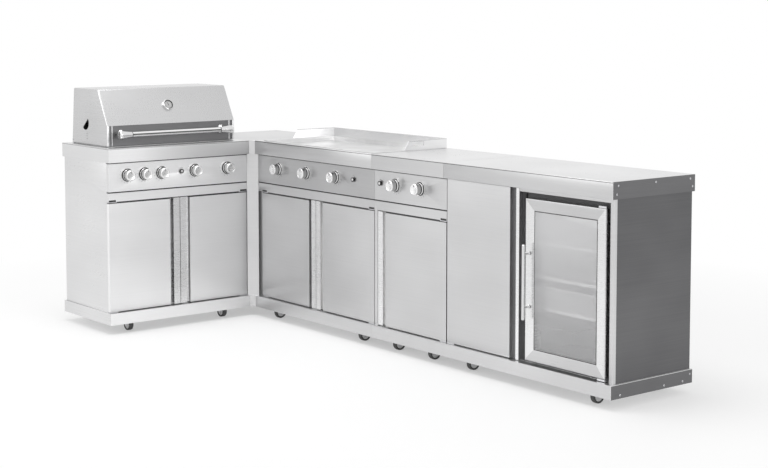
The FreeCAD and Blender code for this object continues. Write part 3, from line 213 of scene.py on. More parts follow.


# painted lines along folds: painted shade at the doors' tops and along the worktops' top front edge, a
# painted highlight along the top of the right end's plinth
paintedFoldLines = {"door": (0.6352, 0.0021, 0.1), "fascia": (0.8965, 0.0016, 0.2), "grillFascia": (0.8965, 0.0016, 0.4),
         "end": (0.1012, 0.0012, 0.75)}
steels = {  # the material's name, its low and high tone, its roughness, and its fold where it has one
    "steel": ("brushed_steel", 0.57, 0.68, 0.34),
    # painted shade: a darker copy of the steel, for the griddle's control panel
    "panelSteel": ("panel_steel", 0.47, 0.57, 0.34),
    "doorSteel": ("door_steel", 0.55, 0.66, 0.34, paintedFoldLines["door"]),
    # painted light: the grill module's steel, doors and fascia are brighter copies of the one steel, standing
    # in for the light on its faces
    "grillSteel": ("grill_steel", 0.86, 0.95, 0.42),
    "grillDoorSteel": ("grill_door_steel", 0.8, 0.9, 0.42, paintedFoldLines["door"]),
    # painted light: a lighter copy of the steel for faces that look up or toward -Y
    "topSteel": ("top_steel", 0.66, 0.77, 0.3),
    "fasciaSteel": ("fascia_steel", 0.56, 0.64, 0.34, paintedFoldLines["fascia"]),
    "grillFascia": ("grill_fascia_steel", 0.66, 0.76, 0.4, paintedFoldLines["grillFascia"]),
    # painted highlight: a bright copy of the steel for the door lips, the hood band's ends and seams, and the
    # right end's front edges
    "lipSteel": ("lip_steel", 0.76, 0.88, 0.28),
    # painted light: a brighter copy of the steel for the griddle guard
    "guardSteel": ("guard_steel", 0.76, 0.86, 0.3),
    "hoodSteel": ("hood_steel", 0.52, 0.62, 0.28),
    # painted shade: a dark copy of the steel for the hood's band under its slope
    "bandSteel": ("band_steel", 0.14, 0.24, 0.36),
    # painted light and shade: the fridge frame's stiles take a lighter copy of the steel, its rails a darker
    # one
    "frameSteel": ("frame_steel", 0.68, 0.8, 0.28),
    "railSteel": ("frame_rail_steel", 0.52, 0.62, 0.3),
    # painted shade: a dark copy of the steel for the pulls' channels and the cut edges of the guard's slot
    "channelShade": ("wide_channel_steel", 0.2, 0.25, 0.45),
    # painted shade: dark copies of the steel for the right end, a little lighter on its fascia and plinth
    # ends, with a painted highlight along the plinth's top
    "endSteel": ("end_steel", 0.115, 0.18, 0.42, paintedFoldLines["end"]),
    "endTrim": ("end_trim_steel", 0.145, 0.21, 0.42, paintedFoldLines["end"]),
}
plains = {  # the material's name, its colour, roughness, metal and mottling, and its surface's size and depth
    # painted light: a pale lining for the hollows of two pulls, standing in for light inside them
    "pullLining": ("pull_lining", grey(0.95), 0.5, 0.3, 0.03),
    "chrome": ("polished_chrome", grey(0.72), 0.14, 1.0, 0.03),
    "darkChrome": ("dark_chrome", grey(0.5), 0.16, 1.0, 0.05),
    "knobSteel": ("turned_steel", grey(0.86), 0.24, 1.0, 0.04),
    "castIron": ("cast_iron", grey(0.1), 0.55, 0.2, 0.2, 150.0, 0.001),
    "plate": ("griddle_plate", grey(0.74), 0.32, 1.0, 0.08),
    "black": ("black_trim", grey(0.02), 0.45),
    "tyre": ("grey_tyre", grey(0.06), 0.6, 0.0, 0.15),
    "zinc": ("zinc_plate", grey(0.66, 0.02), 0.35, 0.9, 0.12),
    "white": ("white_enamel", grey(0.82), 0.4),
    "dial": ("gauge_dial", grey(0.5), 0.3),
    "liner": ("fridge_liner", grey(0.4), 0.35),
    "brass": ("brass", (0.6, 0.42, 0.16, 1.0), 0.3, 1.0, 0.1),
    # a near-black used as painted shade in the gaps, and as the compressor's own colour
    "dark": ("dark_gap", grey(0.03), 0.55),
    "caseGrey": ("fridge_case", grey(0.13, 0.004), 0.5),
}
finishes = {finish: brushedSteel(*looks) for finish, looks in steels.items()}
finishes.update({finish: plainMaterial(*looks) for finish, looks in plains.items()})
finishes["barChrome"] = tubeMaterial("bar_chrome_painted_horizon")
finishes["glass"] = glassMaterial("door_glass")
print("materials made", len(finishes))


# mesh helpers


def placed(name, data):
    thing = bpy.data.objects.new(name, data)
    bpy.context.collection.objects.link(thing)
    return thing


def meshOf(name, bm):
    mesh = bpy.data.meshes.new(name)
    bm.to_mesh(mesh)
    bm.free()
    return mesh


def applied(holder):
    # the mesh that the holder's modifiers make; the holder goes
    made = bpy.data.meshes.new_from_object(holder.evaluated_get(bpy.context.evaluated_depsgraph_get()))
    bpy.data.objects.remove(holder)
    return made


def shade(mesh, smooth, flat=False):
    # shades by angle; flat shades the wide faces one by one
    for face in mesh.polygons:
        face.use_smooth = not (flat and face.area > sheetMetal["wide"])
    mesh.set_sharp_from_angle(angle=math.radians(smooth))


def dress(name, mesh, finish, node, replaces):
    # the piece rides with its node's body, and may take the node's place
    piece = placed(name, mesh)
    for used in [finish] if isinstance(finish, str) else finish:
        mesh.materials.append(finishes[used])
    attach(piece, bodyOf[node])
    if replaces:
        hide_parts(node)


def finished(name, bm, finish, node, replaces=True, bevel=0.0, smooth=30.0, flat=False):
    # welds, turns the faces outwards, rounds the edges, shades and dresses
    bmesh.ops.remove_doubles(bm, verts=bm.verts, dist=1e-6)
    bmesh.ops.recalc_face_normals(bm, faces=bm.faces)
    mesh = meshOf(name, bm)
    if bevel:
        mesh = rounded(mesh, bevel)
    shade(mesh, smooth, flat)
    mesh.name = name
    dress(name, mesh, finish, node, replaces)


def paint(bm, inside, index=1):
    # gives the faces whose middle and direction pass the test another of the piece's finishes
    for face in bm.faces:
        if inside(face.calc_center_median(), face.normal):
            face.material_index = index


def rounded(mesh, width):
    holder = placed("holder", mesh)
    edge = holder.modifiers.new("edge", "BEVEL")
    edge.width = width
    edge.segments = 2
    edge.limit_method = "ANGLE"
    edge.angle_limit = math.radians(40)
    edge.miter_outer = "MITER_ARC"
    return applied(holder)


def spin(axis, degrees=90):
    return Matrix.Rotation(math.radians(degrees), 4, axis)


def inMm(pairs):
    return [(a * mm, b * mm) for a, b in pairs]


def between(value, limits, slack=0.0):
    return min(limits) - slack < value < max(limits) + slack


def move(bm, matrix, verts=None):
    bmesh.ops.transform(bm, matrix=matrix, verts=verts or bm.verts)


def addBox(bm, low, high, matrix=None):
    made = bmesh.ops.create_cube(bm, size=1.0)["verts"]
    size = [b - a for a, b in zip(low, high)]
    middle = [(a + b) / 2 for a, b in zip(low, high)]
    move(bm, Matrix.Translation(middle) @ Matrix.Diagonal((*size, 1.0)), made)
    if matrix:
        move(bm, matrix, made)
    return made


def addFrame(bm, node, inset, wide, front, back):
    # four bars round an upright opening, inset from the node's edges
    low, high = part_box(node)
    x0, x1, z0, z1 = low[0] + inset, high[0] - inset, low[2] + inset, high[2] - inset
    for left, bottom, right, top in ((x0, z0, x1, z0 + wide), (x0, z1 - wide, x1, z1),
                                     (x0, z0 + wide, x0 + wide, z1 - wide),
                                     (x1 - wide, z0 + wide, x1, z1 - wide)):
        addBox(bm, (left, front, bottom), (right, back, top))


def addBands(bm, rings):
    # faces between rings of corners that follow each other
    for below, above in zip(rings, rings[1:]):
        count = max(len(below), len(above))
        for i in range(count):
            j = (i + 1) % count
            if len(below) == 1:
                bm.faces.new((below[0], above[j], above[i]))
            elif len(above) == 1:
                bm.faces.new((below[i], below[j], above[0]))
            else:
                bm.faces.new((below[i], below[j], above[j], above[i]))


def addLathe(bm, profile, matrix, steps=48):
    # turns a list of (radius, height) about the Z axis; an end of radius 0 closes it
    turn = [2 * math.pi * i / steps for i in range(steps)]
    rings = []
    for radius, height in profile:
        circle = [(radius * math.cos(a), radius * math.sin(a)) for a in turn] if radius > 0 else [(0, 0)]
        rings.append([bm.verts.new(matrix @ Vector((x, y, height))) for x, y in circle])
    addBands(bm, rings)


def addBar(bm, start, end, radius, steps):
    # a round level bar, closed at both ends
    way = (Vector(end) - Vector(start)).normalized()
    side = way.cross(Vector((0, 0, 1))).normalized()
    up = side.cross(way)
    turn = [2 * math.pi * i / steps for i in range(steps)]
    rings = [[bm.verts.new(Vector(point) + radius * (math.cos(a) * side + math.sin(a) * up)) for a in turn]
             for point in (start, end)]
    addBands(bm, rings)
    for ring in rings:
        bm.faces.new(ring)


def middleOf(node):
    low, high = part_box(node)
    return (Vector(low) + Vector(high)) / 2


def axesOf(node):
    # the axis along the node's front, the axis out of it, and which way that points
    return (1, 0, 1) if node.startswith("grill_") else (0, 1, -1)


def facing(node):
    # a matrix at the back of a front-mounted node: Z points out of the front, X to the right and Y up
    low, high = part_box(node)
    centre = middleOf(node)
    if axesOf(node)[2] > 0:
        return Matrix.Translation((low[0], centre.y, centre.z)) @ spin("Z") @ spin("X")
    return Matrix.Translation((centre.x, high[1], centre.z)) @ spin("X")


def copied(node):
    bm = bmesh.new()
    bm.from_mesh(frame["nodes"][node].data)
    bm.transform(frame["nodes"][node].matrix_world)
    bmesh.ops.remove_doubles(bm, verts=bm.verts, dist=1e-5)
    return bm


# sheet metal: every folded or hollow piece keeps its CAD shape, welded and given rounded edges

sheetMetal = {
    "edge": 0.9 * mm,
    "smooth": 25.0,
    "flatAngle": 1.0,
    "wide": 0.0002,
    "steel": ["griddle_cabinet", "burner_cabinet", "fridge_cabinet", "burner_control_panel", "corner_unit"],
    "panelSteel": ["griddle_control_panel"],
    # the burner lid takes the painted-light top copy
    "topSteel": ["burner_lid"],
    "plate": ["griddle_plate"],
    "worktops": ["grill_worktop", "griddle_worktop", "burner_worktop", "fridge_worktop"],
    "cornerReach": 5 * mm,
    "slot": {"wall": 3 * mm, "front": 40 * mm, "back": 8 * mm, "below": 8 * mm, "above": 4 * mm},
}


def weldedCopy(node):
    bm = copied(node)
    bmesh.ops.dissolve_limit(bm, angle_limit=math.radians(sheetMetal["flatAngle"]), verts=bm.verts,
                             edges=bm.edges)
    if node in sheetMetal["worktops"]:  # splits the face round an opening, because rounding would close it
        bmesh.ops.triangulate(bm, faces=bm.faces)
    bm.normal_update()
    return bm


def sheetPiece(node, finish, *tests):
    bm = weldedCopy(node)
    for index, inside in enumerate(tests, 1):
        paint(bm, inside, index)
    finished(node + "_sheet", bm, finish, node, True, sheetMetal["edge"], sheetMetal["smooth"],
             node not in sheetMetal["worktops"])


def makeSheetMetal():
    for finish in ("steel", "panelSteel", "topSteel", "plate"):
        for node in sheetMetal[finish]:
            sheetPiece(node, finish)
    # painted light and shade: the worktops' tops take the lighter top copy and their upright fronts a darker
    # one
    for node in sheetMetal["worktops"]:  # the fronts are a shade darker than the tops
        fascia = "grillFascia" if node == "grill_worktop" else "fasciaSteel"
        sheetPiece(node, ["topSteel", fascia], lambda middle, way: abs(way.z) < 0.5)
    low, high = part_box("griddle_guard")
    slot = sheetMetal["slot"]
    # painted shade on the cut edges of the guard's slot
    sheetPiece("griddle_guard", ["guardSteel", "channelShade"],  # the cut edges of the guard's slot are darker
               lambda middle, way: middle.x > high[0] - slot["wall"] and abs(way.x) < 0.5
               and low[1] + slot["front"] < middle.y < high[1] - slot["back"]
               and low[2] + slot["below"] < middle.z < high[2] - slot["above"])
    # painted light by the way each face points: faces toward +X take the bright grill copy, faces toward -Y
    # the lighter top copy
    for node in ("grill_cabinet", "grill_control_panel"):
        sheetPiece(node, ["steel", "grillSteel", "topSteel"], lambda middle, way: way.x > 0.5,
                   lambda middle, way: way.y < -0.5)
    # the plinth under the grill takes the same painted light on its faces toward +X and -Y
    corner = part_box("grill_worktop")[1][0]
    sheetPiece("plinth_frames", ["steel", "grillSteel", "topSteel"],
               lambda middle, way: middle.x < corner + sheetMetal["cornerReach"] and way.x > 0.5,
               lambda middle, way: middle.x < corner and way.y < -0.5)
    top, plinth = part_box("grill_control_panel")[1][2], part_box("plinth_frames")[1][2]
    # the right end takes the painted-shade copies, and its front edges the painted highlight
    sheetPiece("right_end_panels", ["endSteel", "endTrim", "lipSteel"],
               lambda middle, way: middle.z > top or middle.z < plinth, lambda middle, way: way.y < -0.9)


narrow, broad = (20 * mm, 35 * mm), (37 * mm, 18 * mm)
doors = {"grill_door_left": ("right", narrow), "grill_door_right": ("left", narrow),
         "griddle_door_left": ("right", narrow), "griddle_door_right": ("left", narrow),
         "burner_door": ("left", narrow), "storage_door": ("right", broad)}
# the grill doors take the painted-light copy of the door steel, and the pale doors' pulls are painted light
# inside
doorLooks = {"grill": "grillDoorSteel", "storage": "steel", "pale": ("griddle_door_right", "burner_door"),
             "slack": 0.1 * mm, "skin": 1 * mm}


def makeDoors():
    # each pull is a channel between the door's panel and a lip on its free edge, the lip painted bright as a
    # highlight;
    # the storage door's channel is wide enough to show its floor, painted grey as shade, and two pulls are
    # painted pale inside, as light in their hollows
    slack, skin = doorLooks["slack"], doorLooks["skin"]
    for node, (edge, (channel, lip)) in doors.items():
        low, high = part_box(node)
        along, out, front = axesOf(node)
        side, inward = (high[along], -1) if edge == "right" else (low[along], 1)
        seam, end = side + inward * lip, side + inward * (lip + channel)
        bm = weldedCopy(node)
        # painted shade in each pull's channel, and a painted highlight on the front of its lip
        paint(bm, lambda middle, way: between(middle[along], (seam, end), slack) and abs(way[out]) > 0.5)
        paint(bm, lambda middle, way: between(middle[along], (side, seam)) and way[out] * front > 0.5, 2)
        # painted light inside the hollows of the pale pulls
        if node in doorLooks["pale"]:
            paint(bm, lambda middle, way: between(middle[along], (side, end), slack)
                  and between(middle[out], (low[out], high[out]), -skin)
                  and abs(middle[along] - side) > skin, 3)
        panel = doorLooks.get(node.split("_")[0], "doorSteel")
        finished(node + "_sheet", bm, [panel, "channelShade", "lipSteel", "pullLining"], node, True,
                 sheetMetal["edge"], sheetMetal["smooth"])


gaps = {"inset": 3 * mm, "thick": 2 * mm, "slack": 0.4 * mm, "panel": 6 * mm, "door": 4 * mm,
        "hinge": {"wide": 38 * mm, "tall": 9 * mm, "proud": 0.7 * mm, "sunk": 0.5 * mm}}


def makeGaps():
    # dark strips deep in the gaps by the control panels and above the doors, painted shade, and the hinge
    # plates
    bm = bmesh.new()

    def strip(node, bottom, top):
        low, high = [list(corner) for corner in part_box(node)]
        low[2], high[2] = bottom + gaps["slack"], top - gaps["slack"]
        along, out, front = axesOf(node)
        if front > 0:
            high[out] -= gaps["inset"]
            low[out] = high[out] - gaps["thick"]
        else:
            low[out] += gaps["inset"]
            high[out] = low[out] + gaps["thick"]
        addBox(bm, low, high)

    for node in ("grill_control_panel", "griddle_control_panel", "burner_control_panel"):
        low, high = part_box(node)
        strip(node, low[2] - gaps["panel"], low[2])
        strip(node, high[2], high[2] + gaps["panel"])
    hinge = gaps["hinge"]
    for node in doors:
        edge = doors[node][0]
        low, high = [list(corner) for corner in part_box(node)]
        rise = high[2] + gaps["door"]
        strip(node, high[2], rise)
        if node == "storage_door":
            continue
        along, out, front = axesOf(node)
        face = high[out] if front > 0 else low[out]
        if edge == "right":
            high[along] = low[along] + hinge["wide"]
        else:
            low[along] = high[along] - hinge["wide"]
        low[2], high[2] = rise, rise + hinge["tall"]
        low[out], high[out] = sorted((face - front * hinge["sunk"], face + front * hinge["proud"]))
        addBox(bm, low, high)
    finished("gap_shade_strips_and_hinge_plates", bm, "dark", "hinge_brackets", False)


guardRim = {"radius": 2 * mm, "start": 30 * mm, "drop": 1.5 * mm, "inset": 1 * mm}


def makeGuardRim():
    # the guard's top edge is rolled over a thin round bead
    low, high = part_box("griddle_guard")
    top, start, back = high[2] - guardRim["drop"], low[1] + guardRim["start"], high[1] - guardRim["inset"]
    left, right = low[0] + guardRim["inset"], high[0] - guardRim["inset"]
    corners = [(left, start, top), (left, back, top), (right, back, top), (right, start, top)]
    bm = bmesh.new()
    for here, there in zip(corners, corners[1:]):
        addBar(bm, here, there, guardRim["radius"], 10)
    finished("griddle_guard_rim", bm, "chrome", "griddle_guard", False)


def makeFridgeBody():
    # a grey case outside and on its front rim, and a liner within
    low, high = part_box("fridge_body")
    skin = 1 * mm

    def outer(middle, way):
        rim = way.y < -0.9 and middle.y < low[1] + skin
        sides = min(middle.x - low[0], high[0] - middle.x, middle.z - low[2], high[2] - middle.z)
        return rim or sides < skin or way.y > 0.9 and middle.y > high[1] - skin

    bm = weldedCopy("fridge_body")
    paint(bm, outer)
    finished("fridge_case", bm, ["liner", "caseGrey"], "fridge_body", True, 1 * mm, sheetMetal["smooth"])


makeSheetMetal()
makeDoors()
makeGaps()
makeGuardRim()
makeFridgeBody()
print("sheet metal made")


# knobs, bezels and buttons

knobs = {"flange": 3 * mm, "groove": 3.5 * mm, "mark": (1.6 * mm, 12 * mm), "neck": 7.9 * mm, "side": 12 * mm,
         "face": 4.2 * mm}
bezel = {"ring": [(28, 0.1), (34, 0.1), (34, 3.5), (33.4, 5.4), (32.4, 6), (31.2, 5.6), (30, 3), (9, 2.6),
                  (9, 0.1), (28, 0.1)],
         "depth": 6.3 * mm, "lip": 31 * mm, "marks": 9, "firstMark": 150, "markStep": 25,
         "mark": (37, 41, 0.6), "grillReach": 60 * mm}
button = {"cap": [(0, -14), (5, -14), (5, 4.3), (10.4, 4.3), (11, 4.9), (11, 8.2), (10, 9), (7.5, 9),
                  (6.5, 7.6), (0, 7)],
          "stem": 14 * mm, "face": (6.5 * mm, 5 * mm), "sparks": (70, 90, 110), "spark": (15, 19, 0.5)}
knobNodes = [node for node in frame["nodes"] if "_knob_" in node]
buttonNodes = [node for node in frame["nodes"] if node.endswith("_igniter_button")]


def makeKnob(node):
    # a turned knob: flange, dark groove, dark polished side and a bright face
    low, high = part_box(node)
    out = axesOf(node)[1]
    depth = high[out] - low[out]
    radius = (high[2] - low[2]) / 2
    grip = radius - knobs["flange"]
    neck = grip - knobs["groove"]
    turned = [(0, 0.2 * mm), (radius - 1.2 * mm, 0.2 * mm), (radius, 1.4 * mm), (radius, 6.6 * mm),
              (radius - 1.2 * mm, 7.8 * mm), (neck, 8.0 * mm), (neck, 11.5 * mm), (grip, 12.5 * mm),
              (grip, depth - 7 * mm), (grip - 1.5 * mm, depth - 5.5 * mm),
              (grip - 1.5 * mm, depth - 4.5 * mm),
              (grip, depth - 4 * mm), (grip, depth - 2.5 * mm), (grip - 1.6 * mm, depth - 0.6 * mm),
              (grip - 4 * mm, depth), (grip - 6 * mm, depth - 0.8 * mm), (0, depth - 1.0 * mm)]
    bm = bmesh.new()
    addLathe(bm, turned, Matrix.Identity(4), 64)
    bmesh.ops.recalc_face_normals(bm, faces=bm.faces)
    paint(bm, lambda middle, way: knobs["side"] < middle.z < depth - knobs["face"])
    paint(bm, lambda middle, way: knobs["neck"] < middle.z < knobs["side"], 2)
    move(bm, facing(node))
    finished(node + "_turned", bm, ["knobSteel", "darkChrome", "black"], node)
    bm = bmesh.new()
    wide, tall = knobs["mark"]
    addBox(bm, (-wide / 2, grip - tall - 3 * mm, depth - 1.2 * mm),
           (wide / 2, grip - 4 * mm, depth - 0.2 * mm), facing(node))
    finished(node + "_mark", bm, "black", node, False)


def addMark(bm, shape, matrix, degrees):
    # a thin raised line that points away from a control's middle
    start, end, half = shape
    addBox(bm, (start * mm, -half * mm, 0.02 * mm), (end * mm, half * mm, 0.25 * mm),
           matrix @ spin("Z", degrees))


def makeBezels():
    outer, ticks = bmesh.new(), bmesh.new()
    for node in knobNodes:
        base = facing(node) @ Matrix.Translation((0, 0, -bezel["depth"]))
        addLathe(outer, inMm(bezel["ring"]), base, 64)
        for i in range(bezel["marks"]):  # short marks round the lower left of each knob
            addMark(ticks, bezel["mark"], base, bezel["firstMark"] + bezel["markStep"] * i)
    for node in buttonNodes:
        base = facing(node) @ Matrix.Translation((0, 0, button["stem"]))
        for degrees in button["sparks"]:  # a small spark above each igniter
            addMark(ticks, button["spark"], base, degrees)
    outer.normal_update()
    centres = [middleOf(node) for node in knobNodes]
    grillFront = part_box("grill_worktop")[1][0] + bezel["grillReach"]

    def lip(middle, way):
        near = min(centres, key=lambda centre: (centre - middle).length)
        flat = (middle - near).yz if near.x < grillFront else (middle - near).xz
        return flat.length > bezel["lip"]

    paint(outer, lip)
    finished("bezel_rings", outer, ["black", "chrome"], "knob_bezels")
    finished("dial_marks", ticks, "black", "knob_bezels", False)


def makeButton(node):
    bm = bmesh.new()
    addLathe(bm, inMm(button["cap"]), Matrix.Identity(4), 40)
    height, radius = button["face"]
    paint(bm, lambda middle, way: middle.z > height and middle.xy.length < radius)
    move(bm, facing(node) @ Matrix.Translation((0, 0, button["stem"])))
    finished(node + "_cap", bm, ["black", "knobSteel"], node)


for nodeName in sorted(knobNodes):
    makeKnob(nodeName)
for nodeName in sorted(buttonNodes):
    makeButton(nodeName)
makeBezels()
print("controls made")


def islands(node):
    # every loose solid in a node, as the corners of its box
    bm = copied(node)
    seen, boxes = set(), []
    for start in bm.verts:
        if start.index in seen:
            continue
        seen.add(start.index)
        stack, found = [start], []
        while stack:
            vert = stack.pop()
            found.append(vert.co.copy())
            for edge in vert.link_edges:
                other = edge.other_vert(vert)
                if other.index not in seen:
                    seen.add(other.index)
                    stack.append(other)
        boxes.append([Vector([end(v[i] for v in found) for i in range(3)]) for end in (min, max)])
    bm.free()
    return boxes


# castors

castor = {"tread": 3.5 * mm, "hub": 22.5 * mm, "dish": 2 * mm, "cap": 6.5 * mm, "bore": 4.2 * mm,
          "fork": 0.6 * mm}


def makeWheels(node):
    tyres, hubs = bmesh.new(), bmesh.new()
    rounding, hub, dish, cap, bore = [castor[key] for key in ("tread", "hub", "dish", "cap", "bore")]
    alongX = node.startswith("right")
    for low, high in islands(node):
        radius = (high.z - low.z) / 2
        half = ((high.x - low.x) if alongX else (high.y - low.y)) / 2
        place = Matrix.Translation((low + high) / 2) @ spin("Y" if alongX else "X")
        tread = [(hub, -half + dish), (hub + 2 * mm, -half), (radius - rounding, -half),
                 (radius - 1 * mm, -half + 1 * mm), (radius, -half + rounding), (radius, half - rounding),
                 (radius - 1 * mm, half - 1 * mm), (radius - rounding, half), (hub + 2 * mm, half),
                 (hub, half - dish), (hub, -half + dish)]
        addLathe(tyres, tread, place, 40)
        inner, end = half - dish - 0.5 * mm, half + 0.2 * mm
        disc = [(bore, -inner), (hub - 3 * mm, -inner), (hub, -inner + 1.5 * mm), (hub, inner - 1.5 * mm),
                (hub - 3 * mm, inner), (cap, inner), (cap, end), (bore, end), (bore, -inner)]
        addLathe(hubs, disc, place, 32)
    finished(node + "_tyres", tyres, "tyre", node)
    finished(node + "_hubs", hubs, "white", node, False)


for nodeName in sorted(frame["nodes"]):
    if nodeName.endswith("_wheels"):
        makeWheels(nodeName)
finished("castor_forks_zinc", weldedCopy("castor_forks"), "zinc", "castor_forks", True, castor["fork"],
         sheetMetal["smooth"])
print("castors made")


# hood, its handle and its gauge

hoodShape = {"sheet": 2 * mm, "round": 6 * mm, "band": 103 * mm, "recess": 5 * mm, "end": 10 * mm,
             "seam": (28 * mm, 2 * mm), "topFront": 90 * mm, "topBack": 23 * mm,
             "vent": {"radius": 34 * mm, "setback": 222 * mm, "rise": 107 * mm, "tilt": 41, "cut": 10 * mm},
             "dots": {"setback": 207 * mm, "rises": (31 * mm, 44 * mm, 57 * mm), "radius": 2.4 * mm}}
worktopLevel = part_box("grill_worktop")[1][2]


def makeHood():
    # the band is set back a little under the slope and painted dark as shade,
    # between two ends painted bright as highlights
    low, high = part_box("hood")
    bandTop, bandFront = worktopLevel + hoodShape["band"], high[0] - hoodShape["recess"]
    profile = [(bandFront, low[2]), (bandFront, bandTop), (high[0], bandTop),
               (high[0] - hoodShape["topFront"], high[2]), (low[0] + hoodShape["topBack"], high[2]),
               (low[0], low[2])]
    bm = bmesh.new()
    ends = [[bm.verts.new((x, y, z)) for x, z in profile] for y in (low[1], high[1])]
    for i in range(len(profile) - 1):
        bm.faces.new((ends[0][i], ends[0][i + 1], ends[1][i + 1], ends[1][i]))
    for end in ends:
        bm.faces.new(end)
    bmesh.ops.recalc_face_normals(bm, faces=bm.faces)
    skin = 1 * mm
    # the band takes the painted shade
    paint(bm, lambda middle, way: middle.x > bandFront - skin and middle.z < bandTop + skin)
    edges = [edge for edge in bm.edges if not edge.is_boundary
             and min(vert.co.x for vert in edge.verts) < bandFront - skin]
    bmesh.ops.bevel(bm, geom=edges, offset=hoodShape["round"], segments=4, profile=0.5, affect="EDGES")
    holder = placed("holder", meshOf("hood_shell", bm))
    cutter = placed("cutter", ventCutter(low[1]))
    sheet = holder.modifiers.new("sheet", "SOLIDIFY")
    sheet.thickness, sheet.offset = hoodShape["sheet"], -1.0
    cut = holder.modifiers.new("cut", "BOOLEAN")
    cut.operation, cut.object, cut.solver = "DIFFERENCE", cutter, "EXACT"
    made = applied(holder)
    bpy.data.objects.remove(cutter)
    shade(made, sheetMetal["smooth"])
    dress("hood_shell", made, ["hoodSteel", "bandSteel"], "hood", True)
    bm = bmesh.new()
    # the band's two ends and two seams take the painted highlight
    for y in (low[1], high[1] - hoodShape["end"]):
        addBox(bm, (bandFront - skin, y, low[2]), (high[0], y + hoodShape["end"], bandTop))
    seam, half = hoodShape["seam"]
    for y in (low[1] + seam, high[1] - seam):
        addBox(bm, (bandFront - skin, y - half, low[2]), (bandFront + skin, y + half, bandTop))
    finished("hood_band_ends", bm, "lipSteel", "hood", False, 1.5 * mm)
    bm = bmesh.new()
    dots = hoodShape["dots"]
    for rise in dots["rises"]:
        place = Matrix.Translation((high[0] - dots["setback"], low[1] + 0.2 * mm, worktopLevel + rise))
        addLathe(bm, [(0, 0), (dots["radius"], 0), (dots["radius"], 0.6 * mm), (0, 0.9 * mm)],
                 place @ spin("X"), 16)
    finished("hood_end_rivets", bm, "black", "hood", False)


def ventCutter(y):
    # the vent in the left end: a half-moon whose straight side leans forward
    vent = hoodShape["vent"]
    centre = Vector((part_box("hood")[1][0] - vent["setback"], y, worktopLevel + vent["rise"]))
    turns = [math.radians(vent["tilt"] - 7.5 * i) for i in range(25)]
    rim = [(vent["radius"] * math.cos(turn), vent["radius"] * math.sin(turn)) for turn in turns]
    bm = bmesh.new()
    rings = [[bm.verts.new(centre + Vector((x, deep, z))) for x, z in rim]
             for deep in (-vent["cut"], vent["cut"])]
    for ring in rings:
        bm.faces.new(ring)
    addBands(bm, rings)
    bmesh.ops.recalc_face_normals(bm, faces=bm.faces)
    return meshOf("vent", bm)


handle = {"radius": 13 * mm, "end": 20 * mm, "flare": 66 * mm, "mounts": 34 * mm, "groove": 3 * mm,
          "trumpet": [(22, 0), (20, 2), (15, 7), (12, 15), (11, 24)], "foot": 22 * mm, "stalk": 11.5 * mm}


def makeHoodHandle():
    # a polished tube with flared ends, a dark groove inside each, and a trumpet mount under each end
    low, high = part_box("hood_handle")
    radius, groove, tip, flare = handle["radius"], handle["groove"], handle["end"], handle["flare"]
    centreX, centreZ = high[0] - radius, (low[2] + high[2]) / 2
    length = high[1] - low[1]
    half = [(0, 0), (tip - 3 * mm, 0), (tip - 0.8 * mm, 0.8 * mm), (tip, 3 * mm), (tip, 16 * mm),
            (radius + 4 * mm, 36 * mm), (radius + 1 * mm, flare), (radius - 1.6 * mm, flare + 0.4 * mm),
            (radius - 1.6 * mm, flare + groove), (radius, flare + groove + 0.4 * mm)]
    bm = bmesh.new()
    addLathe(bm, half + [(r, length - along) for r, along in reversed(half)], Matrix.Identity(4), 40)
    near, far = flare + 0.3 * mm, flare + groove + 0.1 * mm
    paint(bm, lambda middle, way: min(middle.z, length - middle.z) < near, 2)
    paint(bm, lambda middle, way: near < middle.z < far or near < length - middle.z < far)
    move(bm, Matrix.Translation((centreX, low[1], centreZ)) @ spin("X", -90))
    finished("hood_handle_tube", bm, ["barChrome", "black", "chrome"], "hood_handle")
    bm = bmesh.new()
    reach, recess, foot = centreX - low[0], hoodShape["recess"], handle["foot"]
    trumpet = [(0, -recess), (foot, -recess)] + inMm(handle["trumpet"])
    trumpet += [(handle["stalk"], reach), (0, reach)]
    for y in (low[1] + handle["mounts"], high[1] - handle["mounts"]):
        addLathe(bm, trumpet, Matrix.Translation((low[0], y, centreZ)) @ spin("Y"), 40)
    finished("hood_handle_mounts", bm, "chrome", "hood_handle", False)


gauge = {"case": [(0, -20), (4.8, -20), (4.8, 0.2), (28, 0.2), (28, 9), (26.5, 11.5), (24.5, 12), (23.5, 10),
                  (23.5, 7), (20.6, 7), (0, 7)],
         "face": [(0, 7.1), (20.4, 7.1), (20.4, 7.6), (0, 7.6)], "slope": (173, 0, 90), "setback": 45 * mm,
         "rise": 189.5 * mm, "marks": 21, "firstMark": -60, "markStep": 15, "markEnd": 19.5 * mm,
         "markLengths": (5 * mm, 3 * mm), "needleTurn": 200}


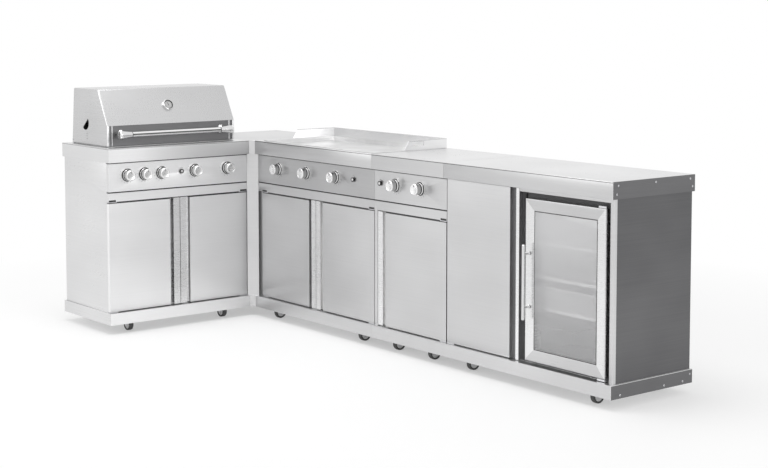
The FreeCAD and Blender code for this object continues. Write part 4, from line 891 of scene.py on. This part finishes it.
def makeGauge():
    low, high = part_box("hood_gauge")
    seat = Vector((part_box("hood")[1][0] - gauge["setback"], (low[1] + high[1]) / 2,
                   worktopLevel + gauge["rise"]))
    out = Vector(gauge["slope"]).normalized()
    place = Matrix.Translation(seat) @ Vector((0, 0, 1)).rotation_difference(out).to_matrix().to_4x4()
    bm = bmesh.new()
    addLathe(bm, inMm(gauge["case"]), Matrix.Identity(4), 48)
    paint(bm, lambda middle, way: 1 * mm < middle.z < 10.2 * mm and middle.xy.length < 23.6 * mm)
    move(bm, place)
    finished("gauge_case", bm, ["chrome", "black"], "hood_gauge")
    bm = bmesh.new()
    addLathe(bm, inMm(gauge["face"]), place, 48)
    finished("gauge_face", bm, "dial", "hood_gauge", False)
    marks, needle = bmesh.new(), bmesh.new()
    end = gauge["markEnd"]
    for i in range(gauge["marks"]):
        length = gauge["markLengths"][min(i % 5, 1)]
        addBox(marks, (end - length, -0.5 * mm, 7.5 * mm), (end, 0.5 * mm, 7.8 * mm),
               place @ spin("Z", gauge["firstMark"] + gauge["markStep"] * i))
    finished("gauge_marks", marks, "black", "hood_gauge", False)
    for vert in addBox(needle, (-6 * mm, -1.2 * mm, 7.9 * mm), (15 * mm, 1.2 * mm, 8.5 * mm)):
        if vert.co.x > 0:
            vert.co.y *= 0.3
    move(needle, place @ spin("Z", gauge["needleTurn"]))
    finished("gauge_needle", needle, "black", "hood_gauge", False)


makeHood()
makeHoodHandle()
makeGauge()
print("hood made")


# fridge: bar handle, door frame, seal, bead and glass

fridge = {"bar": 7 * mm, "mount": 5.6 * mm, "mountRises": (53 * mm, 275 * mm), "foot": 8 * mm,
          "swell": [(0, 6), (1.5, 2.4), (5, 0.5), (9, 0), (14, 0.3), (43, 3.4), (48, 4.6), (50, 6)],
          "stile": 50 * mm, "seal": (14 * mm, 16 * mm, 0.1 * mm, 0.9 * mm),
          "bead": (2.2 * mm, 5.2 * mm, 1.5 * mm)}


def makeFridgeHandle():
    low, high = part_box("fridge_door_handle")
    radius = fridge["bar"]
    centre = Vector(((low[0] + high[0]) / 2, low[1] + radius, 0))
    bm = bmesh.new()
    addLathe(bm, [(0, low[2]), (radius - 2 * mm, low[2]), (radius, low[2] + 2 * mm),
                  (radius, high[2] - 2 * mm), (radius - 2 * mm, high[2]), (0, high[2])],
             Matrix.Translation(centre), 32)
    reach = high[1] - centre.y
    for rise in fridge["mountRises"]:
        base = Matrix.Translation((centre.x, high[1], low[2] + rise)) @ spin("X")
        addLathe(bm, [(0, 0.1 * mm), (fridge["foot"], 0.1 * mm), (fridge["foot"], 1.5 * mm),
                      (fridge["mount"], 3 * mm), (fridge["mount"], reach), (0, reach)], base, 24)
    finished("fridge_bar", bm, "chrome", "fridge_door_handle")


def makeFridgeFrame():
    # a mitred frame: a narrow rounded outer edge, then a face that slopes down to the glass
    low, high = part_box("fridge_door_frame")
    swell = [(inset, low[1] + rise) for inset, rise in inMm(fridge["swell"])]
    bm = bmesh.new()
    loops = []
    for inset, y in [(0, high[1])] + swell + [(fridge["stile"], high[1])]:
        x0, x1, z0, z1 = low[0] + inset, high[0] - inset, low[2] + inset, high[2] - inset
        loops.append([bm.verts.new((x, y, z)) for x, z in ((x0, z0), (x1, z0), (x1, z1), (x0, z1))])
    for here, there in zip(loops, loops[1:] + loops[:1]):
        for i in range(4):
            j = (i + 1) % 4
            # stiles and rails take the lit and shaded copies by turns
            bm.faces.new((here[i], here[j], there[j], there[i])).material_index = (i + 1) % 2
    finished("fridge_frame", bm, ["frameSteel", "railSteel"], "fridge_door_frame", True, 0, 20.0)


def makeFridgeTrim():
    # the seal behind the frame, and the dark bead between the frame and the glass
    low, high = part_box("fridge_door_frame")
    inset, wide, gap, deep = fridge["seal"]
    bm = bmesh.new()
    addFrame(bm, "fridge_door_frame", inset, wide, high[1] + gap, high[1] + gap + deep)
    finished("fridge_door_seal", bm, "black", "fridge_door_frame", False)
    wide, sunk, deep = fridge["bead"]
    bm = bmesh.new()
    addFrame(bm, "fridge_door_frame", fridge["stile"], wide, low[1] + sunk, low[1] + sunk + deep)
    finished("fridge_glass_bead", bm, "black", "fridge_door_frame", False)


def makeGlass():
    bm = bmesh.new()
    addBox(bm, *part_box("fridge_door_glass"))
    finished("fridge_pane", bm, "glass", "fridge_door_glass", True, 0.8 * mm)


makeFridgeHandle()
makeFridgeFrame()
makeFridgeTrim()
makeGlass()
print("fridge made")


# what repeats: rows of wires and screw heads, grown by geometry trees


class Grower(Nodes):  # a geometry tree that takes points and named sizes and gives one mesh
    def __init__(self, name, sizes):
        self.tree = bpy.data.node_groups.new(name, "GeometryNodeTree")
        super().__init__(self.tree)
        face = self.tree.interface
        face.new_socket("Points", in_out="INPUT", socket_type="NodeSocketGeometry")
        for label, kind in {**sizes, "Turn": "Vector", "Material": "Material"}.items():
            face.new_socket(label, in_out="INPUT", socket_type="NodeSocket" + kind)
        face.new_socket("Geometry", in_out="OUTPUT", socket_type="NodeSocketGeometry")
        self.given = self.node("NodeGroupInput", {}, {})

    def size(self, label):
        return Wire(self, self.given.outputs[label])

    def end(self, points, shape):
        turn = self.wire("FunctionNodeEulerToRotation", {}, {0: self.size("Turn")})
        put = self.wire("GeometryNodeInstanceOnPoints", {},
                        {"Points": points, "Instance": shape, "Rotation": turn})
        real = self.wire("GeometryNodeRealizeInstances", {}, {0: put})
        painted = self.wire("GeometryNodeSetMaterial", {},
                            {"Geometry": real, "Material": self.size("Material")})
        self.node("NodeGroupOutput", {}, {0: painted})
        return self.tree


def wireTree():
    grower = Grower("wire_row", {"Count": "Int", "Start": "Vector", "Step": "Vector", "Length": "Float",
                                 "Radius": "Float"})
    points = grower.wire("GeometryNodeMeshLine", {"mode": "OFFSET"},
                         {"Count": grower.size("Count"), "Start Location": grower.size("Start"),
                          "Offset": grower.size("Step")})
    bar = grower.wire("GeometryNodeMeshCylinder", {}, {"Vertices": 8, "Radius": grower.size("Radius"),
                                                      "Depth": grower.size("Length")})
    return grower.end(points, bar)


def screwTree():
    grower = Grower("screw_heads", {"Radius": "Float", "Height": "Float"})
    radius = grower.size("Radius")
    head = grower.wire("GeometryNodeMeshCone", {}, {"Vertices": 24, "Radius Top": radius * screwHead["top"],
                                                   "Radius Bottom": radius, "Depth": grower.size("Height")})
    return grower.end(grower.size("Points"), head)


# raised black crosses for the screw heads: painted shade standing in for their cross recesses
def crossTree():
    grower = Grower("screw_cross_recess_shades", {"Long": "Float", "Wide": "Float", "Height": "Float"})
    both = grower.node("GeometryNodeJoinGeometry", {}, {})
    for first, second in (("Long", "Wide"), ("Wide", "Long")):
        size = grower.wire("ShaderNodeCombineXYZ", {}, {0: grower.size(first), 1: grower.size(second),
                                                        2: screwHead["raised"]})
        grower.feed(both.inputs[0], grower.wire("GeometryNodeMeshCube", {}, {"Size": size}))
    lift = grower.wire("ShaderNodeCombineXYZ", {}, {2: grower.size("Height")})
    raised = grower.wire("GeometryNodeTransform", {}, {"Geometry": Wire(grower, both.outputs[0]),
                                                       "Translation": lift})
    return grower.end(grower.size("Points"), raised)


def grow(bm, tree, points, **sizes):
    # runs a geometry tree on the points and adds its mesh to bm
    seed = bpy.data.meshes.new("seed")
    seed.from_pydata(points, [], [])
    holder = placed("seed", seed)
    modifier = holder.modifiers.new("grow", "NODES")
    modifier.node_group = tree
    for item in tree.interface.items_tree:
        if item.in_out == "INPUT" and item.name in sizes:
            modifier[item.identifier] = sizes[item.name]
    made = applied(holder)
    bm.from_mesh(made)
    bpy.data.meshes.remove(made)


shelves = {"wire": 2 * mm, "count": 15, "rail": (6 * mm, 3 * mm), "basket": 90 * mm, "mesh": 13 * mm,
           "meshWire": 1.5 * mm, "basketFront": 1 * mm}


def makeShelves():
    tree = wireTree()
    bm = bmesh.new()
    radius, thin = shelves["wire"], shelves["meshWire"]

    def wires(count, start, step, length, radius, turn):
        grow(bm, tree, [(0, 0, 0)], Count=count, Start=start, Step=step, Length=length, Radius=radius,
             Turn=turn, Material=finishes["white"])

    boxes = sorted(islands("fridge_shelves"), key=lambda box: box[0].z)
    for low, high in boxes:
        middle = (low + high) / 2
        step, deep = (high.x - low.x - 2 * radius) / (shelves["count"] - 1), (high.y - low.y - 2 * radius) / 2
        wires(shelves["count"], (low.x + radius, middle.y, middle.z), (step, 0, 0), high.y - low.y, radius,
              (quarter, 0, 0))
        wires(3, (middle.x, low.y + radius, middle.z), (0, deep, 0), high.x - low.x, radius, (0, quarter, 0))
        tall, thick = shelves["rail"]
        addBox(bm, (low.x, low.y - thick, middle.z - tall), (high.x, low.y, middle.z + tall))
    low, high = boxes[0]
    tall, step, front = shelves["basket"], shelves["mesh"], low.y + shelves["basketFront"]
    count = int((high.x - low.x - tall) / step)
    middle = high.z + tall / 2
    for lean in (-1, 1):  # a basket of woven wire stands on the lowest shelf
        turn = (0, lean * quarter / 2, 0)
        wires(count + 1, (low.x + tall / 2, front, middle), (step, 0, 0), tall * math.sqrt(2), thin, turn)
        for i in range(1, int(tall / step) + 1):  # shorter wires fill its two ends
            short = tall - i * step
            for end, side in ((low.x, 1), (low.x + tall + count * step, -1)):
                start = (end + side * short / 2, front, middle + lean * side * i * step / 2)
                wires(1, start, (step, 0, 0), short * math.sqrt(2), thin, turn)
    wires(2, ((low.x + high.x) / 2, front, high.z + radius), (0, 0, tall), high.x - low.x, radius,
          (0, quarter, 0))
    finished("fridge_shelf_wires", bm, "white", "fridge_shelves")


screwHead = {"height": 1.7 * mm, "top": 0.62, "cross": (5.2 * mm, 1.1 * mm), "raised": 0.2 * mm,
             "seat": 0.05 * mm}


def makeScrews():
    heads, crosses = bmesh.new(), bmesh.new()
    boxes = islands("screws")
    radius = max((high.z - low.z) / 2 for low, high in boxes)
    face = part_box("right_end_panels")[1][0] - screwHead["seat"]
    points = [(face, (low.y + high.y) / 2, (low.z + high.z) / 2) for low, high in boxes]
    height, turn, (long, wide) = screwHead["height"], (0, quarter, 0), screwHead["cross"]
    grow(heads, screwTree(), points, Radius=radius, Height=height, Turn=turn, Material=finishes["zinc"])
    # the black crosses are painted shade for the screws' cross recesses
    grow(crosses, crossTree(), points, Long=long, Wide=wide, Height=height, Turn=turn,
         Material=finishes["black"])
    finished("screw_heads", heads, "zinc", "screws")
    finished("screw_cross_recess_shades", crosses, "black", "screws", False)


makeShelves()
makeScrews()
print("wires and screws grown")


# everything else keeps its CAD mesh and takes a finish

kept = {"fridge_compressor": "dark", "gas_manifolds": "brass", "cooking_grates": "castIron",
        "side_burners": "castIron", "heat_shields": "steel", "firebox": "steel", "tube_burners": "steel",
        "drip_trays": "steel", "hinge_brackets": "zinc"}
for nodeName, finish in kept.items():
    materials = frame["nodes"][nodeName].data.materials
    materials.clear()
    materials.append(finishes[finish])
print("kept nodes painted")


# studio

studio = {"camera": (5.591, -4.233, 1.560), "tilt": 85.59, "turn": 51.42, "lens": 72.9, "sensor": 36.0,
          "shiftY": -0.135, "clipEnd": 100, "floor": 200.0, "world": 0.6,
          "lights": {"front": ((-2.5, -6.0, 3.5), (0, 0, 0.5), (5, 4), 130),
                     "right": ((6.5, 0.5, 3.0), (0, 0, 0.5), (4, 4), 70),
                     "above": ((-0.3, -0.7, 5.5), (0, 0.2, 0), (4, 2.6), 120)}}


def makeFloor():
    # a pale floor that fades to plain white away from the object
    bm = bmesh.new()
    bmesh.ops.create_grid(bm, x_segments=8, y_segments=8, size=studio["floor"] / 2)
    mesh = meshOf("floor", bm)
    floor = placed("floor", mesh)
    tree = Tree("pale_floor")
    cloud = tree.noise((0.6, 0.6, 0.6))
    pale = tree.ramp(cloud, [(0.3, grey(0.9)), (0.7, grey(0.93))])
    mesh.materials.append(tree.set(colour=pale, rough=cloud * 0.1 + 0.6))
    away = tree.wire("ShaderNodeVectorMath", {"operation": "LENGTH"}, {0: tree.place()}, "Value")
    fade = tree.ramp(away * 0.1, [(0.12, grey(0.35)), (0.34, grey(1.0))])
    white = tree.wire("ShaderNodeEmission", {}, {"Color": grey(1.0), "Strength": 1.0})
    mix = tree.wire("ShaderNodeMixShader", {},
                    {0: tree.seenRays() * fade, 1: Wire(tree, tree.shader.outputs[0]), 2: white})
    tree.feed(tree.nodes["Material Output"].inputs["Surface"], mix)


def makeWorld():
    # even light from all round, and plain white where the world itself is seen
    world = bpy.data.worlds.new("studio")
    bpy.context.scene.world = world
    world.use_nodes = True
    tree = Nodes(world.node_tree)
    plain = tree.nodes["Background"]
    plain.inputs["Color"].default_value = grey(1.0)
    plain.inputs["Strength"].default_value = studio["world"]
    white = tree.wire("ShaderNodeBackground", {}, {"Color": grey(1.0), "Strength": 1.0})
    mix = tree.wire("ShaderNodeMixShader", {},
                    {0: tree.seenRays(), 1: Wire(tree, plain.outputs[0]), 2: white})
    tree.feed(tree.nodes["World Output"].inputs["Surface"], mix)


def makeLights():
    for name, (place, target, size, power) in studio["lights"].items():
        data = bpy.data.lights.new(name, "AREA")
        data.shape, data.size, data.size_y, data.energy = "RECTANGLE", size[0], size[1], power
        lamp = placed(name, data)
        lamp.location = place
        lamp.rotation_euler = (Vector(target) - Vector(place)).to_track_quat("-Z", "Y").to_euler()


def makeCamera():
    data = bpy.data.cameras.new("camera")
    data.lens, data.sensor_width, data.shift_y = studio["lens"], studio["sensor"], studio["shiftY"]
    data.clip_end = studio["clipEnd"]
    camera = placed("camera", data)
    camera.location = studio["camera"]
    camera.rotation_euler = (math.radians(studio["tilt"]), 0, math.radians(studio["turn"]))
    bpy.context.scene.camera = camera


makeFloor()
makeLights()
makeWorld()
makeCamera()
bpy.context.scene.view_settings.view_transform = "Standard"
print("studio and camera made")
